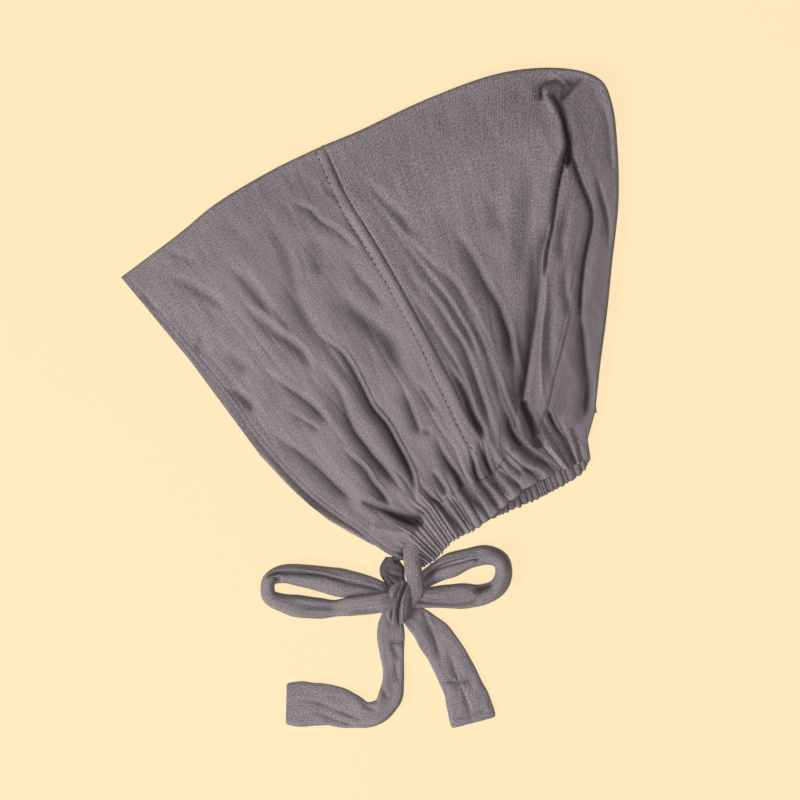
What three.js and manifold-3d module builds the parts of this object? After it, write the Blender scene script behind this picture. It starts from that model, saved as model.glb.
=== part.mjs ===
// An underscarf cap of thin knit jersey with a gathered neck and two ties knotted in a bow.
// It lies on its side, folded flat along the crown: the far layer rests on z = 0 and the near layer
// arches over it, so that the cap stays open at the face edge and at the neck.
// Millimetres, +Z up, +X towards the back of the cap, +Y towards the crown.

import * as THREE from 'three';
import * as BufferGeometryUtils from 'three/addons/utils/BufferGeometryUtils.js';
import Module from 'manifold-3d';

const wasm = await Module();
wasm.setup();

// Sizes of the folded cap
const CAP_LENGTH = 310;      // face corner to the back of the crown
const CAP_HEIGHT = 310;      // top of the crown to the lowest corner of the neck casing
const JERSEY = 1.2;          // one layer of knit
const LOFT = 15.5;           // outside of the near layer over the surface, mid panel
const MOUTH_LOFT = 9.6;      // the same at the face edge
const NECK_LOFT = 12.6;      // the same at the neck casing
const NAPE_LOFT = 8.2;       // the same where the casing folds at the back
const MOUTH_REACH = 43;      // how far in from the face edge the layer lies lower
const NECK_REACH = 31;       // the same at the neck casing
const NAPE_EASE = 28;        // the same at the back fold of the casing
const FOLD_HEIGHT = 4;       // height of the crown fold's outermost line
const FOLD_REACH = 5;        // how far in from its outline the round of the fold ends
const FOLD_EASE = 45;        // how far in the near layer rises gently to its full loft
const FOLD_ROUND = 0.5;      // share of the rise that lies in the round
const FURROW_START = 14.4;   // how far in from the crown fold the furrows have their full depth
const SEAM_GAP = 0.3;        // between pieces that are sewn together
const PANEL_SPAN = 186;      // typical span of a panel, which turns a gap into a share of it

// Sizes of the gathered casing
const CASING_WALL = 2.6;     // two layers of jersey and the elastic between them
const GATHER_DEPTH = 1.1;    // crest over furrow of one gather
const GATHER_COUNT = 20;     // gathers along the near casing
const NAPE_REACH = 6;        // how far in from its end the casing's back fold becomes flat
const NAPE_INSIDE = 0.4;     // where in that reach the inner face starts to open, share of it
const NAPE_TURN = 0.9;       // where along the casing its inner face starts to keep back from the fold

// Sizes of the ties and their bow
const BOW_SPAN = 155;        // tip of one loop to the tip of the other
const TIE_WIDTH = 28;        // one tie pressed flat
const TIE_WALL = 2.4;        // a tie is a flat tube, two layers thick
const STEM_WIDTH = 10;       // a tie rolled up where it leaves the casing
const STEM_HEIGHT = 5.6;
const KNOT_LENGTH = 29.5;
const KNOT_WIDTH = 17.5;
const KNOT_HEIGHT = 14;
const KNOT_GROOVE = 0.12;    // depth of the furrow between the knot's two wraps, share of its radius
const GROOVE_PLACE = 0.25;   // how far across the knot that furrow runs, share of its radius
const GROOVE_REACH = 0.22;   // half the furrow's width, share of the knot's radius
const LOOP_HEIGHT = 9;       // crest of a loop over its feet
const LOOP_ROUNDNESS = 0.8;  // power of the sine that a loop's arch follows, below 1 for full shoulders
const LOOP_HOLLOW = 0.2;     // least half width of the hollow in a narrow loop, share of its width
const HOLLOW_RISE = 0.2;     // least rise of that hollow
const TIE_GAP = 0.3;         // between pieces of the bow

// Colours of the finishes, from the photograph
const JERSEY_COLOUR = 0x827a7c;
const JERSEY_ROUGHNESS = 0.92;

// Outlines of the folded cap. Columns: along as a share of CAP_LENGTH from the face corner, down as a
// share of CAP_HEIGHT from the top of the crown.
const CROWN_FOLD_FRONT = [
  [0.001, 0.420], [0.118, 0.332], [0.189, 0.274], [0.308, 0.203], [0.406, 0.156],
];
const CROWN_FOLD_BACK = [
  [0.406, 0.156], [0.474, 0.128], [0.618, 0.061], [0.760, 0.011], [0.867, 0.000], [0.938, 0.011],
  [0.968, 0.030], [0.986, 0.075], [0.995, 0.146], [0.998, 0.266], [0.985, 0.393], [0.974, 0.500],
  [0.961, 0.598], [0.951, 0.691],
];
const SEAM = [
  [0.406, 0.156], [0.454, 0.262], [0.494, 0.326], [0.552, 0.426], [0.612, 0.536], [0.666, 0.638],
  [0.696, 0.702], [0.724, 0.748], [0.732, 0.786], [0.744, 0.814],
];
const NAPE_SIDE = [[0.951, 0.691], [0.936, 0.744]];
const FACE_EDGE_NEAR = [
  [0.001, 0.420], [0.078, 0.500], [0.156, 0.590], [0.226, 0.674], [0.262, 0.728], [0.320, 0.798],
  [0.380, 0.858], [0.440, 0.904], [0.490, 0.926], [0.545, 0.943], [0.598, 0.945],
];
const FACE_EDGE_FAR = [
  [0.001, 0.420], [0.070, 0.504], [0.146, 0.595], [0.219, 0.678], [0.259, 0.751], [0.325, 0.827],
  [0.412, 0.904], [0.468, 0.936], [0.542, 0.944],
];
const GATHER_LINE_FRONT = [[0.598, 0.945], [0.614, 0.884], [0.656, 0.852], [0.700, 0.834], [0.744, 0.814]];
const GATHER_LINE_BACK = [[0.744, 0.814], [0.782, 0.770], [0.842, 0.730], [0.880, 0.714], [0.936, 0.744]];
const FAR_LINE_FRONT = [[0.542, 0.944], [0.620, 0.896], [0.700, 0.846], [0.744, 0.822]];
const FAR_LINE_BACK = [[0.744, 0.822], [0.780, 0.802], [0.860, 0.756], [0.936, 0.744]];
const HEM_NEAR = [
  [0.606, 1.001], [0.632, 0.984], [0.666, 0.948], [0.708, 0.926], [0.756, 0.890], [0.808, 0.844],
  [0.854, 0.820], [0.908, 0.797], [0.942, 0.784],
];
const HEM_FAR = [
  [0.546, 0.990], [0.590, 0.984], [0.650, 0.956], [0.720, 0.916], [0.778, 0.888], [0.832, 0.865],
  [0.878, 0.842], [0.924, 0.812], [0.942, 0.784],
];

// Folds of the near layer, each a furrow along a route. Columns: depth where it starts and where it
// ends as shares of LOFT, reach of its side towards the face and towards the back as shares of
// CAP_LENGTH, lip as the share of the depth that stands up on the back side, and the route's points.
const FOLDS = [
  { name: 'temple', start: 0.16, end: 0.42, face: 0.026, back: 0.012, lip: 0.2,
    route: [[0.276, 0.290], [0.318, 0.336], [0.340, 0.396], [0.354, 0.462], [0.384, 0.522], [0.450, 0.582],
      [0.508, 0.690], [0.544, 0.742], [0.576, 0.798], [0.588, 0.856]] },
  { name: 'brow_upper', start: 0.12, end: 0.12, face: 0.016, back: 0.016, lip: 0.1,
    route: [[0.196, 0.386], [0.252, 0.428], [0.320, 0.498]] },
  { name: 'brow_lower', start: 0.10, end: 0.16, face: 0.014, back: 0.012, lip: 0.2,
    route: [[0.232, 0.458], [0.310, 0.530], [0.350, 0.558], [0.396, 0.626]] },
  { name: 'forelock', start: 0.10, end: 0.08, face: 0.014, back: 0.014, lip: 0,
    route: [[0.080, 0.410], [0.150, 0.442], [0.228, 0.502]] },
  { name: 'cheek_upper', start: 0.12, end: 0.22, face: 0.014, back: 0.010, lip: 0.2,
    route: [[0.370, 0.566], [0.436, 0.646], [0.450, 0.682], [0.472, 0.734], [0.554, 0.834]] },
  { name: 'cheek_middle', start: 0.12, end: 0.18, face: 0.014, back: 0.012, lip: 0.2,
    route: [[0.276, 0.602], [0.330, 0.638], [0.426, 0.718]] },
  { name: 'cheek_lower', start: 0.14, end: 0.24, face: 0.012, back: 0.010, lip: 0.2,
    route: [[0.436, 0.742], [0.470, 0.786], [0.504, 0.830], [0.544, 0.888]] },
  { name: 'jaw', start: 0.10, end: 0.20, face: 0.018, back: 0.016, lip: 0.1,
    route: [[0.262, 0.676], [0.340, 0.758], [0.390, 0.798], [0.480, 0.874]] },
  { name: 'chin', start: 0.24, end: 0.32, face: 0.010, back: 0.012, lip: 0.3,
    route: [[0.464, 0.886], [0.510, 0.894], [0.550, 0.900]] },
  { name: 'front_parting', start: 0.10, end: 0.12, face: 0.014, back: 0.010, lip: 0.1,
    route: [[0.330, 0.262], [0.376, 0.288], [0.420, 0.324], [0.492, 0.378]] },
  { name: 'front_middle', start: 0.10, end: 0.16, face: 0.020, back: 0.020, lip: 0.1,
    route: [[0.388, 0.338], [0.402, 0.390], [0.474, 0.494], [0.516, 0.522], [0.580, 0.618]] },
  { name: 'front_inner', start: 0.08, end: 0.08, face: 0.014, back: 0.014, lip: 0,
    route: [[0.460, 0.390], [0.494, 0.438], [0.540, 0.490]] },
  { name: 'ear', start: 0.14, end: 0.16, face: 0.012, back: 0.014, lip: 0.1,
    route: [[0.560, 0.642], [0.580, 0.686], [0.596, 0.722]] },
  { name: 'neck_front', start: 0.18, end: 0.24, face: 0.010, back: 0.010, lip: 0.3,
    route: [[0.640, 0.766], [0.672, 0.806], [0.690, 0.832]] },
  { name: 'crown_upper', start: 0.12, end: 0.12, face: 0.018, back: 0.014, lip: 0.1,
    route: [[0.470, 0.206], [0.510, 0.250], [0.560, 0.292], [0.620, 0.336]] },
  { name: 'crown_middle', start: 0.14, end: 0.16, face: 0.014, back: 0.010, lip: 0.2,
    route: [[0.530, 0.322], [0.616, 0.390], [0.664, 0.434], [0.700, 0.490], [0.736, 0.590]] },
  { name: 'crown_lower', start: 0.16, end: 0.26, face: 0.014, back: 0.010, lip: 0.2,
    route: [[0.560, 0.378], [0.620, 0.458], [0.644, 0.502], [0.696, 0.590]] },
  { name: 'crown_long', start: 0.14, end: 0.30, face: 0.018, back: 0.014, lip: 0.2,
    route: [[0.640, 0.258], [0.694, 0.370], [0.752, 0.478], [0.776, 0.542], [0.788, 0.606]] },
  { name: 'seam_side', start: 0.18, end: 0.34, face: 0.008, back: 0.012, lip: 0.2,
    route: [[0.630, 0.556], [0.664, 0.614], [0.708, 0.722], [0.740, 0.766]] },
  { name: 'neck_middle', start: 0.24, end: 0.32, face: 0.010, back: 0.010, lip: 0.2,
    route: [[0.758, 0.650], [0.772, 0.694], [0.794, 0.740]] },
  { name: 'crown_soft', start: 0.14, end: 0.14, face: 0.014, back: 0.014, lip: 0.1,
    route: [[0.830, 0.178], [0.806, 0.250], [0.800, 0.298], [0.796, 0.362]] },
  { name: 'slit_upper', start: 0.30, end: 0.34, face: 0.010, back: 0.012, lip: 0.1,
    route: [[0.864, 0.050], [0.880, 0.086], [0.898, 0.146], [0.892, 0.190], [0.874, 0.256], [0.870, 0.310]] },
  { name: 'slit_lower', start: 0.34, end: 0.44, face: 0.012, back: 0.012, lip: 0.1,
    route: [[0.848, 0.334], [0.838, 0.406], [0.818, 0.570], [0.808, 0.646], [0.814, 0.690]] },
  { name: 'slit_back', start: 0.26, end: 0.30, face: 0.012, back: 0.010, lip: 0.1,
    route: [[0.898, 0.178], [0.916, 0.222], [0.944, 0.290], [0.936, 0.366], [0.924, 0.466], [0.928, 0.586],
      [0.932, 0.660]] },
  { name: 'nape', start: 0.20, end: 0.24, face: 0.010, back: 0.010, lip: 0.2,
    route: [[0.850, 0.680], [0.862, 0.700], [0.876, 0.712]] },
];

// Stations of the two loops and the two hanging ends, from the knot outwards. Columns: across and
// down from the knot's middle as shares of BOW_SPAN, foot as a share of LOOP_HEIGHT for the height
// under the strap, width as a share of TIE_WIDTH, rise as a share of LOOP_HEIGHT.
const LOOP_LEFT = [
  [-0.044, -0.040, 0.05, 0.34, 0.50], [-0.124, -0.062, 0.03, 0.50, 0.60], [-0.236, -0.080, 0.03, 0.60, 0.80],
  [-0.376, -0.106, 0.03, 0.50, 0.95], [-0.468, -0.114, 0.03, 0.40, 1.05], [-0.520, -0.090, 0.03, 0.33, 1.10],
  [-0.520, -0.026, 0.03, 0.36, 1.10], [-0.456, 0.004, 0.03, 0.44, 1.05], [-0.376, 0.018, 0.03, 0.50, 0.95],
  [-0.276, 0.024, 0.10, 0.40, 0.80], [-0.176, 0.012, 0.55, 0.42, 0.55], [-0.050, -0.002, 0.75, 0.46, 0.50],
];
const LOOP_RIGHT = [
  [0.052, -0.052, 0.03, 0.30, 0.50], [0.116, -0.100, 0.03, 0.40, 0.56], [0.196, -0.144, 0.03, 0.54, 0.80],
  [0.284, -0.178, 0.03, 0.45, 0.95], [0.356, -0.190, 0.03, 0.43, 1.05], [0.408, -0.168, 0.03, 0.39, 1.10],
  [0.420, -0.116, 0.03, 0.38, 1.10], [0.396, -0.062, 0.03, 0.39, 1.10], [0.336, -0.032, 0.03, 0.46, 1.05],
  [0.256, -0.026, 0.05, 0.54, 0.95], [0.164, -0.024, 0.25, 0.52, 0.75], [0.060, -0.016, 0.50, 0.40, 0.55],
];
const END_LEFT = [
  [-0.026, 0.056, 0.03, 0.50, 0.34], [-0.032, 0.088, 0.03, 0.60, 0.34], [-0.032, 0.148, 0.03, 0.62, 0.32],
  [-0.028, 0.208, 0.03, 0.56, 0.32], [-0.022, 0.268, 0.03, 0.49, 0.36], [-0.024, 0.324, 0.03, 0.49, 0.50],
  [-0.036, 0.380, 0.03, 0.52, 0.66], [-0.068, 0.428, 0.03, 0.52, 0.70], [-0.124, 0.450, 0.03, 0.55, 0.62],
  [-0.196, 0.434, 0.03, 0.78, 0.42], [-0.276, 0.412, 0.03, 0.95, 0.34], [-0.364, 0.408, 0.03, 1.00, 0.32],
  [-0.452, 0.406, 0.03, 1.00, 0.32],
];
const END_RIGHT = [
  [0.046, 0.046, 0.03, 0.46, 0.34], [0.100, 0.092, 0.03, 0.70, 0.36], [0.152, 0.152, 0.03, 0.80, 0.34],
  [0.192, 0.212, 0.03, 0.84, 0.32], [0.224, 0.272, 0.03, 0.87, 0.32], [0.256, 0.340, 0.03, 0.92, 0.34],
  [0.280, 0.408, 0.03, 0.96, 0.32], [0.300, 0.482, 0.03, 1.00, 0.32],
];

// The two rolled stems from the casing's ends to the knot. Columns: how far along the straight line,
// how far to the side of it as a share of its length, foot as a share of NECK_LOFT, and width and
// height as shares of STEM_WIDTH and STEM_HEIGHT.
const KNOT_MIDDLE = [0.558, 1.072];
const KNOT_TURN = 0.20;      // radians, the knot's long axis from +Y towards +X
const STEM_NEAR_START = [0.578, 0.950];
const STEM_FAR_START = [0.543, 0.994];
const STEM_NEAR = [
  [0.00, 0.00, 0.29, 1.0, 0.95], [0.25, 0.01, 0.36, 1.0, 1.0], [0.50, 0.06, 0.45, 1.0, 1.0],
  [0.78, 0.14, 0.47, 0.95, 1.0], [0.98, 0.10, 0.42, 0.8, 0.9],
];
const STEM_FAR = [
  [0.00, 0.00, 0.03, 1.05, 0.8], [0.25, -0.03, 0.03, 1.35, 1.0], [0.48, -0.02, 0.14, 1.1, 0.9],
  [0.70, 0.02, 0.30, 0.8, 0.8],
];
const STEM_FAR_AIM = [0.020, -0.020];   // where in the knot the far stem ends, shares of BOW_SPAN

// Section of a strap that lies flat. Columns: across as a share of half its width, up as a share of
// its height.
const FLAT_SECTION = [
  [-1, 0.30], [-0.93, 0.80], [-0.5, 1], [0, 0.94], [0.5, 1], [0.93, 0.80], [1, 0.30], [0.93, 0], [-0.93, 0],
];

// Shape of one furrow, in reaches of its side and shares of its route's length
const FURROW_END = 4;        // a furrow is not felt past this
const LIP_PLACE = 2;         // where the lip stands
const TAPER_START = 0.18;    // the furrow deepens over this share of its route
const TAPER_END = 0.14;      // and rises out over this one

// How finely the pieces are divided. Rows are shares of the way from the crown fold to the neck.
const ACROSS = 38;
const NEAR_ROWS = [0, 0.006, 0.02, 0.045, 0.10, 0.19, 0.28, 0.37, 0.46, 0.55, 0.64, 0.73, 0.82, 0.91, 1];
const FAR_ROWS = [0, 0.006, 0.02, 0.045, 0.3, 0.65, 1];
const ROUND_ROWS = 3;        // far rows that lie in the round of the crown fold
const HEM_ROWS = [0, 0.35, 0.7, 1];
const STEPS_PER_GATHER = 4;
const FAR_STEPS = 14;
const CHAIN_STEPS = 48;
const ROUTE_STEPS = 24;
const LOOP_STEPS = 24;
const END_STEPS = 18;
const STEM_STEPS = 8;
const ARCH_SIDES = 6;
const STEM_SIDES = 10;
const KNOT_SIDES = 18;
const KNOT_RINGS = 12;
const MERGE_REACH = 1e-3;    // points nearer to each other than this are one

// Makes a plan point from shares of the cap.
function place([along, down]) {
  return new THREE.Vector3(along * CAP_LENGTH, -down * CAP_HEIGHT, 0);
}

// Makes a smooth curve through a table's plan points.
function outline(rows) {
  return new THREE.CatmullRomCurve3(rows.map(place), false, 'centripetal');
}

// Makes a hermite step from 0 to 1.
function smooth(t) {
  const x = Math.min(Math.max(t, 0), 1);
  return x * x * (3 - 2 * x);
}

// Makes the nearest place on a chain of points: its distance, its share of the length, and its side,
// positive on the right hand of the chain's direction.
function nearest(chain, p) {
  let best = { distance: Infinity, share: 0, side: 1 };
  const last = chain.length - 1;
  for (let i = 0; i < last; i++) {
    const a = chain[i];
    const b = chain[i + 1];
    const dx = b.x - a.x;
    const dy = b.y - a.y;
    const t = Math.min(Math.max(((p.x - a.x) * dx + (p.y - a.y) * dy) / (dx * dx + dy * dy), 0), 1);
    const ex = p.x - a.x - t * dx;
    const ey = p.y - a.y - t * dy;
    const distance = Math.hypot(ex, ey);
    if (distance < best.distance) {
      best = { distance, share: (i + t) / last, side: ex * dy - ey * dx > 0 ? 1 : -1 };
    }
  }
  return best;
}

// The chains that the height of the near layer is worked out from
const foldChain = [
  ...outline(CROWN_FOLD_FRONT).getSpacedPoints(CHAIN_STEPS),
  ...outline(CROWN_FOLD_BACK).getSpacedPoints(CHAIN_STEPS).slice(1),
];
const faceChain = outline(FACE_EDGE_NEAR).getSpacedPoints(CHAIN_STEPS);
const neckChain = outline([...GATHER_LINE_FRONT, ...GATHER_LINE_BACK.slice(1)]).getSpacedPoints(CHAIN_STEPS);
const napeChain = [place(NAPE_SIDE[1]), place(HEM_NEAR[HEM_NEAR.length - 1])];
const foldRoutes = FOLDS.map((fold) => ({
  ...fold, chain: outline(fold.route).getSpacedPoints(ROUTE_STEPS),
}));

// A smooth bell that is 1 at a distance of 0.
function bell(distance, reach) {
  return Math.exp(-((distance / reach) ** 2));
}

// How far the near layer lies over the surface without its folds, away from the crown fold.
function plainLoft(p) {
  const face = (LOFT - MOUTH_LOFT) * bell(nearest(faceChain, p).distance, MOUTH_REACH);
  const neck = (LOFT - NECK_LOFT) * bell(nearest(neckChain, p).distance, NECK_REACH);
  const nape = (NECK_LOFT - NAPE_LOFT) * bell(nearest(napeChain, p).distance, NAPE_EASE);
  return Math.max(LOFT - Math.hypot(face, neck) - nape, NAPE_LOFT);
}

// The depth of all furrows at a plan point, positive downwards.
function furrows(p) {
  let sum = 0;
  for (const fold of foldRoutes) {
    const { distance, share, side } = nearest(fold.chain, p);
    const reach = (side > 0 ? fold.face : fold.back) * CAP_LENGTH;
    if (distance > FURROW_END * reach) continue;
    const taper = smooth(share / TAPER_START) * smooth((1 - share) / TAPER_END);
    const depth = THREE.MathUtils.lerp(fold.start, fold.end, share) * LOFT * taper;
    sum += depth * bell(distance, reach);
    if (side < 0) sum -= fold.lip * depth * bell(distance - LIP_PLACE * reach, reach);
  }
  return sum;
}

// A quarter circle that rises from 0 at 0 to 1 at 1 and stays there.
function arc(t) {
  return Math.sqrt(1 - (1 - Math.min(t, 1)) ** 2);
}

// The near layer's outside at a plan point.
function nearHeight(p) {
  const distance = nearest(foldChain, p).distance;
  const depth = furrows(p) * smooth(distance / FURROW_START);
  const rise = FOLD_ROUND * arc(distance / FOLD_REACH) + (1 - FOLD_ROUND) * smooth(distance / FOLD_EASE);
  return FOLD_HEIGHT + (plainLoft(p) - FOLD_HEIGHT) * rise - depth;
}

// The far layer's outside, its underside, at a plan point.
function farHeight(p) {
  return FOLD_HEIGHT * (1 - arc(nearest(foldChain, p).distance / FOLD_REACH));
}

// Makes a patch between four curves: top and bottom run from left to right, left and right downwards.
function patch(top, bottom, left, right) {
  return (u, w) => {
    const a = top.getPointAt(0).multiplyScalar((1 - u) * (1 - w));
    const b = top.getPointAt(1).multiplyScalar(u * (1 - w));
    const c = bottom.getPointAt(0).multiplyScalar((1 - u) * w);
    const d = bottom.getPointAt(1).multiplyScalar(u * w);
    return top.getPointAt(u).multiplyScalar(1 - w)
      .add(bottom.getPointAt(u).multiplyScalar(w))
      .add(left.getPointAt(w).multiplyScalar(1 - u))
      .add(right.getPointAt(w).multiplyScalar(u))
      .sub(a).sub(b).sub(c).sub(d);
  };
}

// Makes the normals of a grid of points, turned by sign.
function gridNormals(grid, sign) {
  const last = (list) => list.length - 1;
  return grid.map((column, i) => column.map((_, j) => {
    const across = grid[Math.min(i + 1, last(grid))][j].clone().sub(grid[Math.max(i - 1, 0)][j]);
    const along = column[Math.min(j + 1, last(column))].clone().sub(column[Math.max(j - 1, 0)]);
    return across.cross(along).normalize().multiplyScalar(sign);
  }));
}

// Makes one closed body from an outer and an inner grid of the same layout. Points that coincide
// are merged and faces without area dropped.
function shell(outer, inner) {
  const across = outer.length - 1;
  const down = outer[0].length - 1;
  const corners = [];
  const triangle = (a, b, c) => corners.push(a, b, c);
  const quad = (a, b, c, d) => {
    triangle(a, b, c);
    triangle(a, c, d);
  };
  for (let i = 0; i < across; i++) {
    for (let j = 0; j < down; j++) {
      quad(outer[i][j], outer[i + 1][j], outer[i + 1][j + 1], outer[i][j + 1]);
      quad(inner[i][j], inner[i][j + 1], inner[i + 1][j + 1], inner[i + 1][j]);
    }
    quad(outer[i][0], inner[i][0], inner[i + 1][0], outer[i + 1][0]);
    quad(outer[i][down], outer[i + 1][down], inner[i + 1][down], inner[i][down]);
  }
  for (let j = 0; j < down; j++) {
    quad(outer[0][j], outer[0][j + 1], inner[0][j + 1], inner[0][j]);
    quad(outer[across][j], inner[across][j], inner[across][j + 1], outer[across][j + 1]);
  }
  return bodyFrom(corners);
}

// The volume within a list of triangle corners, below 0 where the faces point in.
function signedVolume(corners) {
  let sum = 0;
  for (let i = 0; i < corners.length; i += 3) {
    sum += corners[i].dot(corners[i + 1].clone().cross(corners[i + 2])) / 6;
  }
  return sum;
}

// Makes a geometry from a list of triangle corners, with its faces pointing out.
function bodyFrom(corners) {
  if (signedVolume(corners) < 0) corners.reverse();
  const positions = new Float32Array(corners.flatMap((p) => [p.x, p.y, p.z]));
  const loose = new THREE.BufferGeometry();
  loose.setAttribute('position', new THREE.BufferAttribute(positions, 3));
  const merged = BufferGeometryUtils.mergeVertices(loose, MERGE_REACH);
  const index = merged.index.array;
  const kept = [];
  for (let i = 0; i < index.length; i += 3) {
    const [a, b, c] = [index[i], index[i + 1], index[i + 2]];
    if (a !== b && b !== c && a !== c) kept.push(a, b, c);
  }
  merged.setIndex(kept);
  merged.computeVertexNormals();
  return merged;
}

// Makes one panel of jersey that runs from the near neck line over the crown fold to the far one.
// Each side is a patch, and gaps say how far the panel keeps back from its left, right and lower edge.
function foldedPanel(near, far, gaps) {
  const inset = (u, w, map) => {
    const left = gaps.left / PANEL_SPAN;
    const right = gaps.right / PANEL_SPAN;
    return map(left + u * (1 - left - right), w * (1 - gaps.neck / PANEL_SPAN));
  };
  const columns = [];
  for (let i = 0; i <= ACROSS; i++) {
    const u = i / ACROSS;
    const column = [];
    for (const w of [...NEAR_ROWS].reverse()) {
      const p = inset(u, w, near);
      column.push(p.setZ(nearHeight(p)));
    }
    for (const w of FAR_ROWS.slice(1)) {
      const p = inset(u, w, far);
      column.push(p.setZ(farHeight(p)));
    }
    columns.push(column);
  }
  const normals = gridNormals(columns, 1);
  const inner = columns.map((column, i) => column.map((p, j) => {
    const flat = j >= NEAR_ROWS.length + ROUND_ROWS;
    const n = flat ? new THREE.Vector3(0, 0, -1) : normals[i][j];
    return p.clone().addScaledVector(n, -JERSEY);
  }));
  return shell(columns, inner);
}

// Makes the front panel: the near and far layers between the face edge and the seam.
function frontPanel() {
  const fold = outline(CROWN_FOLD_FRONT);
  const seam = outline(SEAM);
  const near = patch(fold, outline(GATHER_LINE_FRONT), outline(FACE_EDGE_NEAR), seam);
  const far = patch(fold, outline(FAR_LINE_FRONT), outline(FACE_EDGE_FAR), outline([...SEAM.slice(0, -1),
    FAR_LINE_BACK[0]]));
  return foldedPanel(near, far, { left: 0, right: SEAM_GAP, neck: SEAM_GAP });
}

// Makes the crown panel: the near and far layers between the seam and the back of the head.
function crownPanel() {
  const fold = outline(CROWN_FOLD_BACK);
  const seam = outline(SEAM);
  const nape = outline(NAPE_SIDE);
  const near = patch(fold, outline(GATHER_LINE_BACK), seam, nape);
  const far = patch(fold, outline(FAR_LINE_BACK), outline([...SEAM.slice(0, -1), FAR_LINE_BACK[0]]), nape);
  return foldedPanel(near, far, { left: SEAM_GAP, right: 0, neck: SEAM_GAP });
}

// Makes the gathered casing: its near half, the fold at the nape and its far half in one band.
function neckCasing() {
  const nearTop = outline([...GATHER_LINE_FRONT, ...GATHER_LINE_BACK.slice(1)]);
  const nearHem = outline(HEM_NEAR);
  const farTop = outline([...FAR_LINE_FRONT, ...FAR_LINE_BACK.slice(1)]);
  const farHem = outline(HEM_FAR);
  const bandPoint = (top, hem, u, w) => {
    const a = top.getPointAt(u);
    const b = hem.getPointAt(u);
    const start = SEAM_GAP / a.distanceTo(b);
    return a.lerp(b, start + (1 - start) * w);
  };
  const nape = (p) => nearest(napeChain, p).distance / NAPE_REACH;
  const inside = (p) => Math.max(nape(p) - NAPE_INSIDE, 0) / (1 - NAPE_INSIDE);
  const middle = NAPE_LOFT / 2;
  const outer = [];
  const inner = [];
  const steps = GATHER_COUNT * STEPS_PER_GATHER;
  for (let i = 0; i <= steps; i++) {
    const u = i / steps;
    const gather = 0.5 * GATHER_DEPTH * (1 - Math.cos(2 * Math.PI * i / STEPS_PER_GATHER));
    const points = HEM_ROWS.map((w) => bandPoint(nearTop, nearHem, u, w));
    outer.push(points.map((p, j) => {
      const depth = gather * smooth(HEM_ROWS[j] / HEM_ROWS[1]) * arc(nape(p));
      return p.clone().setZ(middle + (plainLoft(p) - middle) * arc(nape(p)) - depth);
    }));
    inner.push(points.map((p) => {
      const level = middle + (plainLoft(p) - middle - CASING_WALL) * arc(inside(p));
      return p.clone().add(napeShift(u)).setZ(level);
    }));
  }
  for (let i = FAR_STEPS - 1; i >= 0; i--) {
    const u = i / FAR_STEPS;
    const points = HEM_ROWS.map((w) => bandPoint(farTop, farHem, u, w));
    outer.push(points.map((p) => p.clone().setZ(middle * (1 - arc(nape(p))))));
    inner.push(points.map((p) => {
      const level = CASING_WALL + (middle - CASING_WALL) * (1 - arc(inside(p)));
      return p.clone().setZ(level);
    }));
  }
  return shell(outer, inner);
}

// Moves the casing's inner face in from its back fold by one wall.
function napeShift(u) {
  return new THREE.Vector3(-CASING_WALL * smooth((u - NAPE_TURN) / (1 - NAPE_TURN)), 0, 0);
}

// The middle of the knot in plan
const knotMiddle = place(KNOT_MIDDLE);

// Makes a plan point from shares of BOW_SPAN, measured from the knot.
function fromKnot(across, down) {
  return knotMiddle.clone().add(new THREE.Vector3(across * BOW_SPAN, -down * BOW_SPAN, 0));
}

// Makes a run of stations from a table that is measured from the knot.
function bowStations(rows) {
  return rows.map(([across, down, foot, width, rise]) => ({
    at: fromKnot(across, down).setZ(foot * LOOP_HEIGHT),
    width: width * TIE_WIDTH,
    height: rise * LOOP_HEIGHT,
  }));
}

// Makes the stations of a stem between the casing's end and the knot.
function stemStations(rows, start, end) {
  const line = end.clone().sub(start).setZ(0);
  const side = new THREE.Vector3(-line.y, line.x, 0);
  return rows.map(([along, aside, foot, width, height]) => ({
    at: start.clone().addScaledVector(line, along).addScaledVector(side, aside).setZ(foot * NECK_LOFT),
    width: width * STEM_WIDTH,
    height: height * STEM_HEIGHT,
  }));
}

// Makes evenly spaced stations along a smooth curve through the given ones.
function refine(stations, count) {
  const path = new THREE.CatmullRomCurve3(stations.map((s) => s.at), false, 'centripetal');
  const sizes = new THREE.CatmullRomCurve3(
    stations.map((s) => new THREE.Vector3(s.width, s.height, 0)), false, 'centripetal');
  const made = [];
  for (let i = 0; i <= count; i++) {
    const t = i / count;
    const size = sizes.getPoint(t);
    const heading = path.getTangent(t).setZ(0).normalize();
    made.push({ at: path.getPoint(t), heading, width: size.x, height: size.y });
  }
  return made;
}

// The section of a strap that arches over its feet, a wall of cloth. Grow makes a cutter of it.
function archSection(width, height, grow) {
  const wall = TIE_WALL + 2 * grow;
  const ring = [];
  for (let k = 0; k <= ARCH_SIDES; k++) {
    const angle = Math.PI * (1 - k / ARCH_SIDES);
    const rise = (height + grow) * Math.sin(angle) ** LOOP_ROUNDNESS;
    ring.push([(0.5 * width + grow) * Math.cos(angle), rise - grow]);
  }
  for (let k = ARCH_SIDES; k >= 0; k--) {
    const angle = Math.PI * (1 - k / ARCH_SIDES);
    const half = Math.max(0.5 * width + grow - wall, LOOP_HOLLOW * width);
    const rise = Math.max(height + grow - wall, HOLLOW_RISE) * Math.sin(angle);
    ring.push([half * Math.cos(angle), rise - grow]);
  }
  return ring;
}

// The section of a strap that lies flat, with round edges.
function flatSection(width, height, grow) {
  return FLAT_SECTION.map(([across, up]) => [
    across * (0.5 * width + grow),
    up > 0 ? up * (height + grow) : -grow,
  ]);
}

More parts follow.
